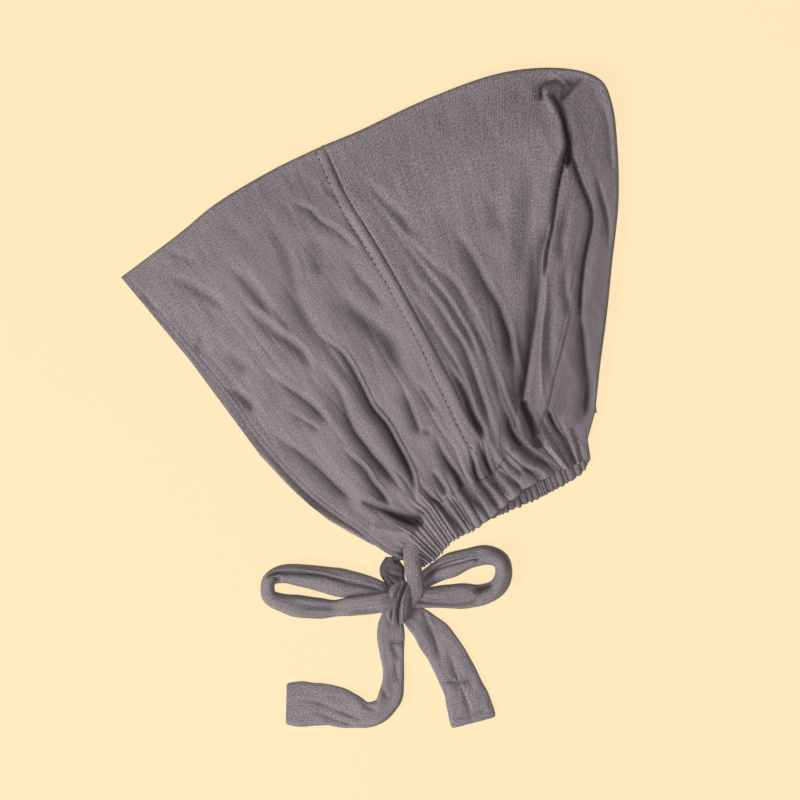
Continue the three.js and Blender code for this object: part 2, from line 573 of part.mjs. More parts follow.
// The section of a tie rolled up into a stem.
function roundSection(width, height, grow) {
  const ring = [];
  for (let k = 0; k < STEM_SIDES; k++) {
    const angle = Math.PI * (1 - 2 * k / STEM_SIDES);
    const rise = 0.5 * height * (1 + Math.sin(angle));
    ring.push([(0.5 * width + grow) * Math.cos(angle), rise + grow * Math.sin(angle)]);
  }
  return ring;
}

// Makes a closed body by carrying a section along stations.
function sweep(stations, section, grow = 0) {
  const rings = stations.map((s) => {
    const side = new THREE.Vector3(s.heading.y, -s.heading.x, 0);
    return section(s.width, s.height, grow).map(([across, up]) => (
      s.at.clone().addScaledVector(side, across).add(new THREE.Vector3(0, 0, up))));
  });
  if (grow > 0) {
    rings[0].forEach((p) => p.addScaledVector(stations[0].heading, -grow));
    rings[rings.length - 1].forEach((p) => p.addScaledVector(stations[stations.length - 1].heading, grow));
  }
  const corners = [];
  const sides = rings[0].length;
  for (let i = 0; i + 1 < rings.length; i++) {
    for (let k = 0; k < sides; k++) {
      const next = (k + 1) % sides;
      corners.push(rings[i][k], rings[i + 1][next], rings[i + 1][k]);
      corners.push(rings[i][k], rings[i][next], rings[i + 1][next]);
    }
  }
  const cap = (ring, forward) => {
    const flat = section(stations[0].width, stations[0].height, 0).map(([x, y]) => new THREE.Vector2(x, y));
    for (const [a, b, c] of THREE.ShapeUtils.triangulateShape(flat, [])) {
      const turn = flat[b].clone().sub(flat[a]).cross(flat[c].clone().sub(flat[a]));
      const inOrder = (turn > 0) !== forward;
      corners.push(ring[a], inOrder ? ring[b] : ring[c], inOrder ? ring[c] : ring[b]);
    }
  };
  cap(rings[0], false);
  cap(rings[rings.length - 1], true);
  return bodyFrom(corners);
}

// Makes the knot: an egg with a furrow between its two wraps.
function knotBody(grow = 0) {
  const geometry = new THREE.SphereGeometry(1, KNOT_SIDES, KNOT_RINGS);
  geometry.deleteAttribute('normal');
  geometry.deleteAttribute('uv');
  const body = BufferGeometryUtils.mergeVertices(geometry, MERGE_REACH);
  const positions = body.attributes.position;
  const radii = new THREE.Vector3(KNOT_WIDTH, KNOT_LENGTH, KNOT_HEIGHT).multiplyScalar(0.5).addScalar(grow);
  const p = new THREE.Vector3();
  for (let i = 0; i < positions.count; i++) {
    p.fromBufferAttribute(positions, i);
    const furrow = grow > 0 ? 0 : KNOT_GROOVE * bell(p.x - GROOVE_PLACE, GROOVE_REACH) * smooth(p.z);
    p.multiplyScalar(1 - furrow).multiply(radii);
    positions.setXYZ(i, p.x, p.y, p.z);
  }
  body.rotateZ(-KNOT_TURN);
  body.translate(knotMiddle.x, knotMiddle.y, 0.5 * KNOT_HEIGHT);
  body.computeVertexNormals();
  return body;
}

// Turns a geometry into a manifold solid.
function toSolid(geometry) {
  return new wasm.Manifold(new wasm.Mesh({
    numProp: 3,
    vertProperties: Float32Array.from(geometry.attributes.position.array),
    triVerts: Uint32Array.from(geometry.index.array),
  }));
}

// Turns a manifold solid back into a geometry.
function toGeometry(solid) {
  const mesh = solid.getMesh();
  const geometry = new THREE.BufferGeometry();
  geometry.setAttribute('position', new THREE.BufferAttribute(Float32Array.from(mesh.vertProperties), 3));
  geometry.setIndex(Array.from(mesh.triVerts));
  geometry.computeVertexNormals();
  return geometry;
}

// Cuts room for its neighbours, each grown by the gap, out of a body.
function clearOf(body, neighbours) {
  return toGeometry(neighbours.reduce((solid, other) => solid.subtract(toSolid(other)), toSolid(body)));
}

// The runs of the ties, and the room that each of them needs where another piece passes
const stemNear = refine(stemStations(STEM_NEAR, place(STEM_NEAR_START), knotMiddle), STEM_STEPS);
const stemFar = refine(stemStations(STEM_FAR, place(STEM_FAR_START), fromKnot(...STEM_FAR_AIM)), STEM_STEPS);
const loopLeft = refine(bowStations(LOOP_LEFT), LOOP_STEPS);
const loopRight = refine(bowStations(LOOP_RIGHT), LOOP_STEPS);
const endLeft = refine(bowStations(END_LEFT), END_STEPS);
const endRight = refine(bowStations(END_RIGHT), END_STEPS);

const knotRoom = knotBody(TIE_GAP);
const stemNearRoom = sweep(stemNear, roundSection, TIE_GAP);
const stemFarRoom = sweep(stemFar, roundSection, TIE_GAP);

const group = new THREE.Group();

// Adds one piece to the cap under its node's name.
function add(name, geometry) {
  const material = new THREE.MeshStandardMaterial({
    color: JERSEY_COLOUR, roughness: JERSEY_ROUGHNESS, metalness: 0,
  });
  const mesh = new THREE.Mesh(geometry, material);
  mesh.name = name;
  group.add(mesh);
}

add('front_panel', frontPanel());
add('crown_panel', crownPanel());
add('neck_casing', neckCasing());
add('tie_near_stem', clearOf(sweep(stemNear, roundSection), [knotRoom]));
add('tie_far_stem', clearOf(sweep(stemFar, roundSection), [knotRoom, stemNearRoom]));
add('bow_knot', knotBody());
add('bow_loop_left', clearOf(sweep(loopLeft, archSection), [knotRoom, stemFarRoom]));
add('bow_loop_right', clearOf(sweep(loopRight, archSection), [knotRoom, stemNearRoom]));
add('tie_end_left', clearOf(sweep(endLeft, flatSection), [knotRoom]));
add('tie_end_right', clearOf(sweep(endRight, flatSection), [knotRoom]));

// The origin is under the middle of the whole piece, on the surface that it lies on.
const box = new THREE.Box3().setFromObject(group, true);
const middle = box.getCenter(new THREE.Vector3());
group.position.set(-middle.x, -middle.y, -box.min.z);
group.updateMatrixWorld(true);

export default group;
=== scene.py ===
"""Looks of a jersey underscarf cap that lies folded on its side, its neck gathered and its ties in a bow.

Everything is in metres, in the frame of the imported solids: +X towards the back of the head, +Y towards
the crown, +Z up from the surface that the cap lies on.
"""

from __future__ import annotations

import logging
import math
from dataclasses import dataclass, field
from enum import Enum
from typing import Sequence

import bpy
import numpy as np
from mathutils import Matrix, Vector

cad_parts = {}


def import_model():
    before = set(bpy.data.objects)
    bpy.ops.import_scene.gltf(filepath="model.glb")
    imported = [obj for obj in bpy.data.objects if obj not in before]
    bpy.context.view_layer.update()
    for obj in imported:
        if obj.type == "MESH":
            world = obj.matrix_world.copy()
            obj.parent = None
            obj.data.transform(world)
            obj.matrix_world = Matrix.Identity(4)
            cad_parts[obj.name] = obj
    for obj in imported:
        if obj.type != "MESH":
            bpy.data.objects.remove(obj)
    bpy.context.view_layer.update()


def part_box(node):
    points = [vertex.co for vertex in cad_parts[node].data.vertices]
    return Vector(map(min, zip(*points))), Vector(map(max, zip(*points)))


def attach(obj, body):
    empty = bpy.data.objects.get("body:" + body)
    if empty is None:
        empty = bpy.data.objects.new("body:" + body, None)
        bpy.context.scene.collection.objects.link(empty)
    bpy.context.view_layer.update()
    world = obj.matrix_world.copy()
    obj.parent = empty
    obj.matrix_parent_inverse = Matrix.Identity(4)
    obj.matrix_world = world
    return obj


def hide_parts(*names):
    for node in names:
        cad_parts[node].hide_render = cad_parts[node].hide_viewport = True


LOG = logging.getLogger("underscarf_cap")
MM = 0.001
THOUSANDTH = 0.001
UV_NAME = "Cloth"
# Point attribute that says how much shade is painted into the cloth's colour, as a depth in mm
PAINTED_SHADE_NAME = "painted_shade"
FLOAT, COLOUR, VECTOR = "NodeSocketFloat", "NodeSocketColor", "NodeSocketVector"
LATTICE = 64

# Layers of the yarn's uneven colour. Columns: input that scales it, its cells a metre across and along
# the cloth and up, and its detail.
MELANGE_LAYERS = (
    ("Fleck", (1300, 900, 1), 3.0), ("Streak", (700, 45, 1), 2.0), ("Cloud", (28, 18, 1), 2.0))
BEND_SCALE = 60.0
FUZZ_SCALE = 1500.0
COURSE_SHARE = 0.22

Route = tuple[tuple[float, float], ...]

# Outlines of the folded cap, the same as the solids have. Columns: along in thousandths of the cap's
# length from the face corner, down in thousandths of its height from the top of the crown.
CROWN_FOLD_FRONT: Route = ((1, 420), (118, 332), (189, 274), (308, 203), (406, 156))
CROWN_FOLD_BACK: Route = (
    (406, 156), (474, 128), (618, 61), (760, 11), (867, 0), (938, 11), (968, 30), (986, 75), (995, 146),
    (998, 266), (985, 393), (974, 500), (961, 598), (951, 691),
)
SEAM: Route = (
    (406, 156), (454, 262), (494, 326), (552, 426), (612, 536), (666, 638), (696, 702), (724, 748),
    (732, 786), (744, 814),
)
STITCH_ROW: Route = (
    (389, 167), (400, 188), (411, 214), (431, 262), (459, 314), (488, 357), (525, 420), (570, 502),
    (606, 569), (629, 622), (652, 668), (676, 718), (696, 754), (716, 776),
)
GATHER_ROW: Route = (
    (620, 886), (656, 859), (700, 841), (744, 821), (782, 777), (842, 738), (880, 723), (918, 744),
)
NAPE_SIDE: Route = ((951, 691), (936, 744))
FACE_EDGE_NEAR: Route = (
    (1, 420), (78, 500), (156, 590), (226, 674), (262, 728), (320, 798), (380, 858), (440, 904),
    (478, 929), (510, 956), (538, 975), (556, 982),
)
FACE_EDGE_FAR: Route = (
    (1, 420), (70, 504), (146, 595), (219, 678), (259, 751), (325, 827), (402, 896), (462, 936), (504, 956),
    (542, 970),
)
GATHER_LINE_FRONT: Route = ((556, 982), (582, 936), (614, 884), (656, 852), (700, 834), (744, 814))
GATHER_LINE_BACK: Route = ((744, 814), (782, 770), (842, 730), (880, 714), (936, 744))
FAR_LINE_FRONT: Route = ((542, 970), (620, 896), (700, 846), (744, 822))
FAR_LINE_BACK: Route = ((744, 822), (780, 802), (860, 756), (936, 744))
HEM_NEAR: Route = (
    (606, 1001), (632, 984), (666, 948), (708, 926), (756, 890), (808, 844), (854, 820), (908, 797),
    (942, 784),
)
HEM_FAR: Route = (
    (546, 990), (590, 984), (650, 956), (720, 916), (778, 888), (832, 865), (878, 842), (924, 812),
    (942, 784),
)


class Profile(Enum):
    """Shape of a crease: the power of its fall across it, and the shares in which it fades in and out."""

    SOFT = (2.0, 0.42, 0.30)
    PINCHED = (1.25, 0.40, 0.22)
    SLIT = (1.5, 0.12, 0.12)
    VALLEY = (1.15, 0.16, 0.16)


@dataclass(frozen=True)
class Crease:
    """One crease along a route in thousandths of the cap.

    start and end are its depths there in mm, below 0 for a ridge. right and left are its reaches in mm
    on the two sides of its direction, and lip is the share of the depth that stands up on the left.
    """

    start: float
    end: float
    right: float
    left: float
    lip: float
    shape: Profile
    route: Route


SOFT, PINCHED, SLIT, VALLEY = Profile.SOFT, Profile.PINCHED, Profile.SLIT, Profile.VALLEY

# Creases of the front panel, from the face edge to the seam
FRONT_CREASES: tuple[Crease, ...] = (
    Crease(0.8, 2.6, 5.0, 3.2, 0.1, SOFT, (
        (240, 292), (284, 290), (296, 302), (318, 336), (334, 376), (344, 416), (354, 462), (372, 502),
        (392, 530), (442, 570))),
    Crease(2.2, 5.4, 2.4, 1.2, 0.3, PINCHED, (
        (354, 462), (372, 502), (392, 530), (410, 546), (442, 570), (460, 596), (484, 642), (504, 682),
        (532, 716), (554, 756), (576, 798), (586, 826), (588, 856), (600, 884))),
    Crease(0.6, 0.5, 2.0, 2.0, 0.0, SOFT, ((312, 262), (340, 290), (358, 330))),
    Crease(0.5, 0.6, 2.2, 2.0, 0.0, SOFT, ((348, 330), (366, 390), (380, 450))),
    Crease(1.6, 1.8, 4.0, 3.0, 0.1, SOFT, (
        (196, 386), (224, 406), (252, 428), (274, 450), (284, 466), (320, 498))),
    Crease(-0.8, -0.9, 3.0, 2.4, 0.0, SOFT, ((250, 446), (284, 482), (320, 516), (360, 536))),
    Crease(1.4, 2.8, 3.2, 2.0, 0.2, SOFT, (
        (232, 458), (256, 482), (284, 506), (310, 530), (340, 550), (364, 570), (382, 598), (394, 622))),
    Crease(2.0, 4.2, 3.0, 1.6, 0.2, PINCHED, (
        (370, 566), (396, 592), (420, 622), (438, 650), (448, 676), (458, 706), (472, 734), (488, 754),
        (504, 776), (530, 806), (554, 834), (574, 862))),
    Crease(1.5, 3.0, 3.0, 1.8, 0.2, PINCHED, (
        (276, 598), (310, 622), (330, 638), (360, 658), (380, 674), (400, 694), (426, 718))),
    Crease(1.2, 1.6, 2.0, 1.4, 0.1, PINCHED, ((330, 682), (360, 702), (384, 716), (404, 730))),
    Crease(2.0, 4.2, 2.6, 1.4, 0.2, PINCHED, (
        (436, 742), (450, 766), (470, 786), (490, 806), (504, 830), (520, 850), (536, 872), (546, 890))),
    Crease(1.0, 2.4, 2.4, 2.4, 0.1, SOFT, ((204, 636), (230, 650), (256, 670), (274, 692))),
    Crease(1.6, 3.4, 3.0, 2.0, 0.1, PINCHED, (
        (284, 702), (310, 736), (340, 758), (366, 776), (390, 796), (416, 822), (436, 842), (460, 862),
        (486, 874))),
    Crease(1.2, 6.5, 1.3, 2.4, 0.2, SLIT, (
        (478, 868), (506, 878), (530, 888), (556, 900), (584, 909), (612, 911))),
    Crease(-1.4, -1.6, 2.2, 2.6, 0.0, SLIT, ((500, 918), (530, 926), (560, 930), (590, 930))),
    Crease(0.9, 0.9, 1.6, 1.6, 0.0, SOFT, ((44, 442), (56, 466), (80, 496))),
    Crease(1.3, 1.5, 3.4, 2.6, 0.1, SOFT, (
        (80, 410), (120, 424), (150, 442), (180, 460), (204, 476), (226, 498))),
    Crease(0.8, 0.8, 2.6, 2.6, 0.0, SOFT, ((92, 366), (130, 382), (150, 392))),
    Crease(0.8, 1.0, 2.0, 2.0, 0.0, SOFT, ((168, 526), (160, 556), (150, 572))),
    Crease(1.4, 1.6, 3.4, 3.0, 0.1, SOFT, ((210, 560), (236, 590), (262, 614))),
    Crease(1.9, 1.1, 2.2, 1.8, 0.15, PINCHED, (
        (334, 260), (360, 278), (380, 286), (400, 308), (430, 326), (460, 352), (486, 372))),
    Crease(0.8, 0.8, 2.4, 2.4, 0.0, SOFT, ((400, 230), (430, 256), (444, 280))),
    Crease(1.0, 1.3, 5.0, 5.0, 0.0, SOFT, ((380, 326), (402, 382), (396, 420))),
    Crease(1.6, 3.0, 5.2, 4.2, 0.1, SOFT, (
        (404, 424), (450, 470), (474, 492), (490, 506), (516, 530), (536, 546), (550, 570), (566, 596),
        (584, 622))),
    Crease(1.0, 1.3, 3.0, 2.4, 0.0, SOFT, ((452, 380), (480, 422), (494, 436), (520, 466), (544, 490))),
    Crease(0.8, 0.8, 1.8, 1.8, 0.0, SOFT, ((440, 276), (476, 336), (496, 370), (520, 402))),
    Crease(2.2, 3.0, 2.4, 1.6, 0.2, PINCHED, ((560, 632), (576, 670), (586, 696), (596, 722), (606, 740))),
    Crease(1.6, 1.2, 1.8, 1.8, 0.1, SOFT, ((598, 724), (612, 728), (628, 730))),
    Crease(1.2, 1.6, 2.0, 1.6, 0.1, PINCHED, ((590, 626), (610, 650), (634, 690))),
    Crease(1.6, 2.2, 1.6, 1.4, 0.2, PINCHED, ((622, 800), (638, 828), (656, 856))),
)

# Creases of the crown panel, from the seam to the back fold
CROWN_CREASES: tuple[Crease, ...] = (
    Crease(1.4, 1.6, 3.4, 2.6, 0.1, SOFT, (
        (462, 196), (490, 230), (516, 256), (540, 280), (564, 300), (584, 322), (624, 338))),
    Crease(1.4, 2.6, 3.2, 2.0, 0.2, PINCHED, (
        (530, 322), (560, 346), (590, 370), (620, 390), (650, 416), (670, 436), (684, 460), (700, 490),
        (710, 516), (730, 566), (748, 620), (764, 676), (778, 720))),
    Crease(1.6, 3.4, 2.8, 1.5, 0.2, PINCHED, (
        (560, 378), (584, 422), (610, 446), (634, 476), (650, 502), (664, 526), (684, 554), (700, 596),
        (718, 650), (736, 704), (752, 752))),
    Crease(1.2, 2.2, 2.2, 1.3, 0.1, PINCHED, (
        (546, 412), (594, 474), (646, 552), (682, 612), (708, 682), (742, 734))),
    Crease(1.0, 1.4, 2.2, 1.4, 0.2, PINCHED, ((442, 204), (500, 262), (556, 330), (620, 392), (650, 440))),
    Crease(1.0, 2.4, 2.4, 1.4, 0.2, PINCHED, (
        (470, 250), (540, 320), (604, 400), (664, 480), (708, 560), (730, 620))),
    Crease(1.0, 2.4, 2.2, 1.3, 0.2, PINCHED, (
        (620, 400), (674, 468), (726, 552), (762, 640), (794, 724), (812, 776))),
    Crease(0.9, 2.0, 2.4, 1.4, 0.2, PINCHED, (
        (650, 270), (704, 384), (756, 484), (792, 592), (818, 692))),
    Crease(0.9, 1.8, 1.8, 1.2, 0.1, PINCHED, ((590, 326), (640, 392), (694, 470), (738, 552), (770, 640))),
    Crease(1.4, 4.8, 3.8, 2.0, 0.2, PINCHED, (
        (640, 256), (660, 296), (670, 330), (690, 356), (710, 390), (724, 422), (740, 450), (756, 476),
        (766, 506), (776, 536), (780, 566), (786, 596), (790, 634))),
    Crease(1.2, 1.4, 4.0, 3.4, 0.0, SOFT, ((730, 250), (746, 276), (756, 306), (760, 336))),
    Crease(1.4, 1.9, 7.0, 4.0, 0.0, SOFT, (
        (846, 150), (828, 206), (818, 256), (812, 306), (808, 356), (804, 420), (800, 470))),
    Crease(2.6, 5.2, 1.4, 2.2, 0.2, PINCHED, (
        (644, 580), (664, 610), (678, 636), (690, 662), (698, 686), (710, 712), (722, 732), (734, 752))),
    Crease(-0.9, -1.0, 1.7, 1.5, 0.0, SOFT, ((726, 706), (744, 756), (760, 782), (776, 798))),
    Crease(1.5, 1.9, 2.8, 2.4, 0.1, SOFT, ((904, 262), (890, 306), (882, 346), (886, 396))),
    Crease(1.3, 1.5, 2.4, 2.0, 0.1, SOFT, ((892, 386), (890, 436), (894, 476), (902, 512))),
    Crease(3.6, 7.0, 1.1, 1.3, 0.05, SLIT, (
        (856, 42), (866, 58), (876, 74), (884, 98), (890, 122), (896, 150), (897, 180), (892, 206))),
    Crease(4.6, 2.6, 1.3, 0.8, 0.1, SLIT, (
        (897, 140), (892, 170), (884, 204), (877, 236), (872, 266), (868, 296), (864, 326), (858, 350),
        (852, 390), (848, 430))),
    Crease(3.8, 3.8, 0.9, 1.2, 0.1, SLIT, (
        (897, 144), (902, 170), (910, 204), (922, 236), (934, 264), (942, 290), (942, 316), (936, 346),
        (928, 386), (923, 426), (920, 470), (921, 520))),
    Crease(3.0, 4.0, 2.2, 1.8, 0.1, PINCHED, (
        (920, 430), (922, 506), (926, 546), (930, 586), (935, 636), (932, 676), (924, 722))),
    Crease(1.8, 2.6, 4.6, 4.0, 0.0, SOFT, ((934, 590), (940, 640), (934, 690), (926, 716))),
    Crease(2.2, 4.9, 5.6, 0.9, 0.1, VALLEY, (
        (866, 280), (854, 330), (840, 376), (838, 406), (836, 446), (832, 486), (826, 526), (820, 566),
        (814, 606), (806, 656), (802, 712))),
    Crease(5.0, 3.6, 1.9, 2.1, 0.1, SLIT, ((806, 660), (810, 684), (820, 706), (832, 736), (838, 766))),
    Crease(-1.3, -1.3, 1.0, 1.3, 0.0, SOFT, (
        (858, 362), (853, 390), (852, 466), (845, 526), (842, 606), (846, 656), (856, 682), (868, 690))),
    Crease(1.6, 2.0, 3.0, 3.0, 0.0, SOFT, ((862, 420), (860, 470), (856, 530), (856, 590), (862, 640))),
    Crease(2.6, 2.4, 1.3, 1.6, 0.1, SOFT, ((950, 206), (964, 264), (972, 296), (978, 328), (980, 370))),
    Crease(-2.2, -1.8, 1.4, 1.6, 0.0, SLIT, (
        (868, 26), (856, 42), (853, 56), (864, 76), (876, 102), (884, 126), (885, 152), (876, 186),
        (856, 214))),
    Crease(3.2, 2.6, 0.95, 0.95, 0.0, SLIT, (
        (842, 70), (842, 42), (854, 29), (872, 27), (886, 36), (896, 50))),
    Crease(2.8, 2.8, 2.2, 2.2, 0.0, SOFT, ((884, 26), (900, 31), (916, 38))),
    Crease(2.8, 2.6, 3.6, 0.7, 0.0, SLIT, ((940, 4), (912, 34), (886, 62), (878, 72))),
    Crease(1.4, 1.6, 1.4, 1.4, 0.1, PINCHED, ((962, 56), (975, 106), (982, 156), (984, 210))),
)

# Creases that run from both panels through the gathered neck to its hem
NECK_CREASES: tuple[Crease, ...] = (
    Crease(3.0, 3.4, 2.0, 1.5, 0.2, PINCHED, (
        (622, 716), (634, 746), (644, 770), (656, 792), (672, 814), (686, 838), (700, 856), (720, 876),
        (740, 900))),
    Crease(2.4, 3.0, 1.4, 1.2, 0.2, PINCHED, (
        (590, 814), (604, 838), (620, 860), (640, 876), (660, 900), (680, 922), (696, 942))),
    Crease(3.0, 3.4, 1.4, 1.2, 0.2, PINCHED, (
        (698, 748), (700, 766), (706, 790), (712, 816), (724, 836), (738, 854), (750, 874), (760, 892))),
    Crease(3.0, 2.6, 1.4, 1.6, 0.2, PINCHED, (
        (708, 726), (720, 756), (728, 782), (738, 806), (752, 830), (772, 850), (790, 868))),
    Crease(3.6, 2.4, 2.0, 1.8, 0.2, PINCHED, (
        (758, 640), (766, 676), (776, 706), (782, 730), (796, 750), (812, 766), (832, 782), (856, 794),
        (880, 806))),
    Crease(2.6, 2.6, 1.1, 1.0, 0.2, SLIT, (
        (854, 680), (862, 702), (872, 722), (886, 742), (896, 762), (904, 782), (914, 802))),
    Crease(3.0, 3.6, 5.5, 5.5, 0.0, SOFT, ((576, 940), (580, 970), (584, 1010), (590, 1040))),
    Crease(1.6, 1.6, 1.8, 1.6, 0.1, SOFT, ((786, 804), (810, 806), (832, 812), (854, 826))),
    Crease(1.6, 1.8, 1.4, 1.2, 0.1, PINCHED, ((764, 772), (776, 790), (792, 804), (812, 820))),
    Crease(1.4, 1.4, 1.4, 1.2, 0.1, PINCHED, ((750, 800), (770, 816), (790, 834), (806, 846))),
    Crease(2.0, 1.8, 1.4, 1.4, 0.1, PINCHED, ((656, 850), (672, 872), (688, 896), (704, 920))),
)

# Creases of the bow, over its loops, its hanging ends and its stems
BOW_CREASES: tuple[Crease, ...] = (
    Crease(2.0, 1.4, 1.0, 0.9, 0.3, SLIT, (
        (288, 1030), (294, 1020), (310, 1012), (360, 1012), (400, 1016), (440, 1026), (490, 1038),
        (534, 1050))),
    Crease(1.4, 1.4, 1.4, 1.4, 0.0, SOFT, ((304, 1024), (314, 1024), (326, 1024))),
    Crease(1.0, 1.2, 2.2, 1.6, 0.1, SOFT, ((340, 1066), (372, 1078), (420, 1082), (450, 1080))),
    Crease(0.9, 1.0, 1.0, 1.0, 0.1, PINCHED, ((440, 1092), (480, 1089), (530, 1088))),
    Crease(1.8, 2.4, 1.1, 1.1, 0.3, SLIT, (
        (604, 1034), (622, 1014), (642, 1000), (680, 988), (708, 982), (724, 990))),
    Crease(1.4, 1.4, 1.1, 1.1, 0.2, PINCHED, ((722, 952), (742, 960), (760, 970), (776, 990), (780, 1014))),
    Crease(2.0, 2.2, 1.8, 1.8, 0.1, SOFT, ((702, 1050), (722, 1044), (750, 1030))),
    Crease(1.4, 1.2, 1.2, 1.2, 0.1, PINCHED, ((600, 1044), (630, 1036), (672, 1028))),
    Crease(1.6, 1.2, 1.0, 0.9, 0.3, SLIT, ((590, 1068), (640, 1074), (690, 1074), (724, 1064))),
    Crease(1.3, 1.3, 1.2, 1.2, 0.1, PINCHED, ((538, 1148), (550, 1152), (572, 1150))),
    Crease(0.8, 0.8, 1.8, 1.6, 0.1, SOFT, ((538, 1140), (548, 1162), (562, 1190))),
    Crease(0.6, 0.7, 0.9, 0.9, 0.1, PINCHED, ((546, 1186), (552, 1206), (556, 1234))),
    Crease(-0.7, -0.7, 1.4, 1.4, 0.0, SOFT, (
        (556, 1226), (562, 1256), (546, 1286), (516, 1304), (486, 1310))),
    Crease(0.8, 0.8, 1.5, 1.5, 0.1, SOFT, ((512, 1226), (526, 1248), (538, 1268))),
    Crease(0.8, 0.8, 1.5, 1.5, 0.1, SOFT, ((478, 1266), (498, 1282), (518, 1288))),
    Crease(0.7, 0.8, 0.8, 0.8, 0.1, PINCHED, (
        (340, 1264), (396, 1272), (430, 1286), (460, 1298), (496, 1310))),
    Crease(0.9, 0.9, 1.0, 1.0, 0.1, PINCHED, ((384, 1290), (430, 1306), (474, 1320))),
    Crease(2.0, 1.2, 1.5, 1.3, 0.2, PINCHED, (
        (600, 1076), (612, 1104), (624, 1132), (634, 1160), (644, 1190))),
    Crease(0.8, 0.8, 0.9, 0.9, 0.1, PINCHED, (
        (642, 1150), (664, 1186), (670, 1210), (680, 1236), (692, 1266), (702, 1296), (712, 1320))),
    Crease(1.2, 1.2, 1.1, 1.1, 0.2, PINCHED, ((634, 1232), (660, 1230), (676, 1232), (716, 1224))),
    Crease(0.9, 0.8, 1.3, 1.3, 0.1, SOFT, ((676, 1218), (678, 1234), (674, 1252))),
    Crease(0.8, 0.8, 1.0, 1.0, 0.0, SOFT, ((654, 1242), (650, 1256), (646, 1272))),
    Crease(0.7, 0.7, 0.8, 0.8, 0.2, PINCHED, ((662, 1306), (700, 1298), (742, 1284))),
    Crease(1.4, 1.4, 1.4, 1.2, 0.2, PINCHED, ((528, 1010), (546, 1016), (566, 1020))),
    Crease(1.4, 1.2, 1.4, 1.2, 0.2, PINCHED, ((520, 1028), (536, 1030), (556, 1036))),
)

# Creases between the bands of the knot, from above
KNOT_CREASES: tuple[Crease, ...] = (
    Crease(2.2, 2.6, 1.0, 1.0, 0.3, SLIT, (
        (566, 1018), (556, 1036), (546, 1062), (540, 1092), (540, 1120))),
    Crease(2.6, 2.4, 1.0, 0.9, 0.3, SLIT, (
        (578, 1020), (568, 1042), (560, 1070), (558, 1096), (562, 1126))),
    Crease(1.2, 1.4, 1.0, 1.0, 0.1, PINCHED, ((592, 1036), (586, 1064), (582, 1094), (578, 1122))),
    Crease(1.4, 1.2, 1.1, 1.1, 0.1, PINCHED, ((572, 1098), (584, 1106), (596, 1112))),
    Crease(1.4, 1.4, 1.2, 1.2, 0.1, SOFT, ((534, 1114), (544, 1126), (556, 1134))),
)

# Stations of the bow's straps, from the knot outwards, the same as the solids have. Columns: across
# and down from the knot's middle as shares of the bow's span, foot as a share of the loops' height,
# width as a share of the tie's width, rise as a share of the loops' height.
Stations = tuple[tuple[float, float, float, float, float], ...]
LOOP_LEFT: Stations = (
    (-0.012, -0.032, 0.05, 0.30, 0.45),
    (-0.044, -0.040, 0.05, 0.34, 0.50), (-0.124, -0.062, 0.03, 0.50, 0.60),
    (-0.236, -0.080, 0.03, 0.60, 0.80), (-0.376, -0.106, 0.03, 0.50, 0.95),
    (-0.468, -0.114, 0.03, 0.40, 1.05), (-0.520, -0.090, 0.03, 0.33, 1.10),
    (-0.520, -0.026, 0.03, 0.36, 1.10), (-0.456, 0.004, 0.03, 0.44, 1.05),
    (-0.376, 0.018, 0.03, 0.50, 0.95), (-0.276, 0.024, 0.10, 0.40, 0.80),
    (-0.176, 0.012, 0.55, 0.42, 0.55), (-0.050, -0.002, 0.75, 0.46, 0.50),
    (-0.014, -0.006, 0.75, 0.40, 0.45),
)
LOOP_RIGHT: Stations = (
    (0.018, -0.034, 0.03, 0.26, 0.45),
    (0.052, -0.052, 0.03, 0.30, 0.50), (0.116, -0.100, 0.03, 0.40, 0.56),
    (0.196, -0.144, 0.03, 0.54, 0.80), (0.284, -0.178, 0.03, 0.45, 0.95),
    (0.356, -0.190, 0.03, 0.43, 1.05), (0.408, -0.168, 0.03, 0.39, 1.10),
    (0.420, -0.116, 0.03, 0.38, 1.10), (0.396, -0.062, 0.03, 0.39, 1.10),
    (0.336, -0.032, 0.03, 0.46, 1.05), (0.256, -0.026, 0.05, 0.54, 0.95),
    (0.164, -0.024, 0.25, 0.52, 0.75), (0.060, -0.016, 0.50, 0.44, 0.55), (0.020, -0.010, 0.50, 0.40, 0.5),
)
END_LEFT: Stations = (
    (-0.012, 0.022, 0.03, 0.44, 0.34),
    (-0.026, 0.056, 0.03, 0.50, 0.34), (-0.032, 0.088, 0.03, 0.60, 0.34),
    (-0.032, 0.148, 0.03, 0.62, 0.32), (-0.028, 0.208, 0.03, 0.56, 0.32),
    (-0.022, 0.268, 0.03, 0.49, 0.36), (-0.024, 0.324, 0.03, 0.49, 0.50),
    (-0.036, 0.380, 0.03, 0.52, 0.66), (-0.068, 0.428, 0.03, 0.52, 0.70),
    (-0.124, 0.450, 0.03, 0.55, 0.62), (-0.196, 0.434, 0.03, 0.78, 0.42),
    (-0.276, 0.412, 0.03, 0.95, 0.34), (-0.364, 0.408, 0.03, 1.00, 0.32),
    (-0.452, 0.406, 0.03, 1.00, 0.32),
)
END_RIGHT: Stations = (
    (0.014, 0.018, 0.03, 0.40, 0.34),
    (0.046, 0.046, 0.03, 0.46, 0.34), (0.100, 0.092, 0.03, 0.70, 0.36),
    (0.152, 0.152, 0.03, 0.80, 0.34), (0.192, 0.212, 0.03, 0.84, 0.32),
    (0.224, 0.272, 0.03, 0.87, 0.32), (0.256, 0.340, 0.03, 0.92, 0.34),
    (0.280, 0.408, 0.03, 0.96, 0.32), (0.300, 0.482, 0.03, 1.00, 0.32),
)

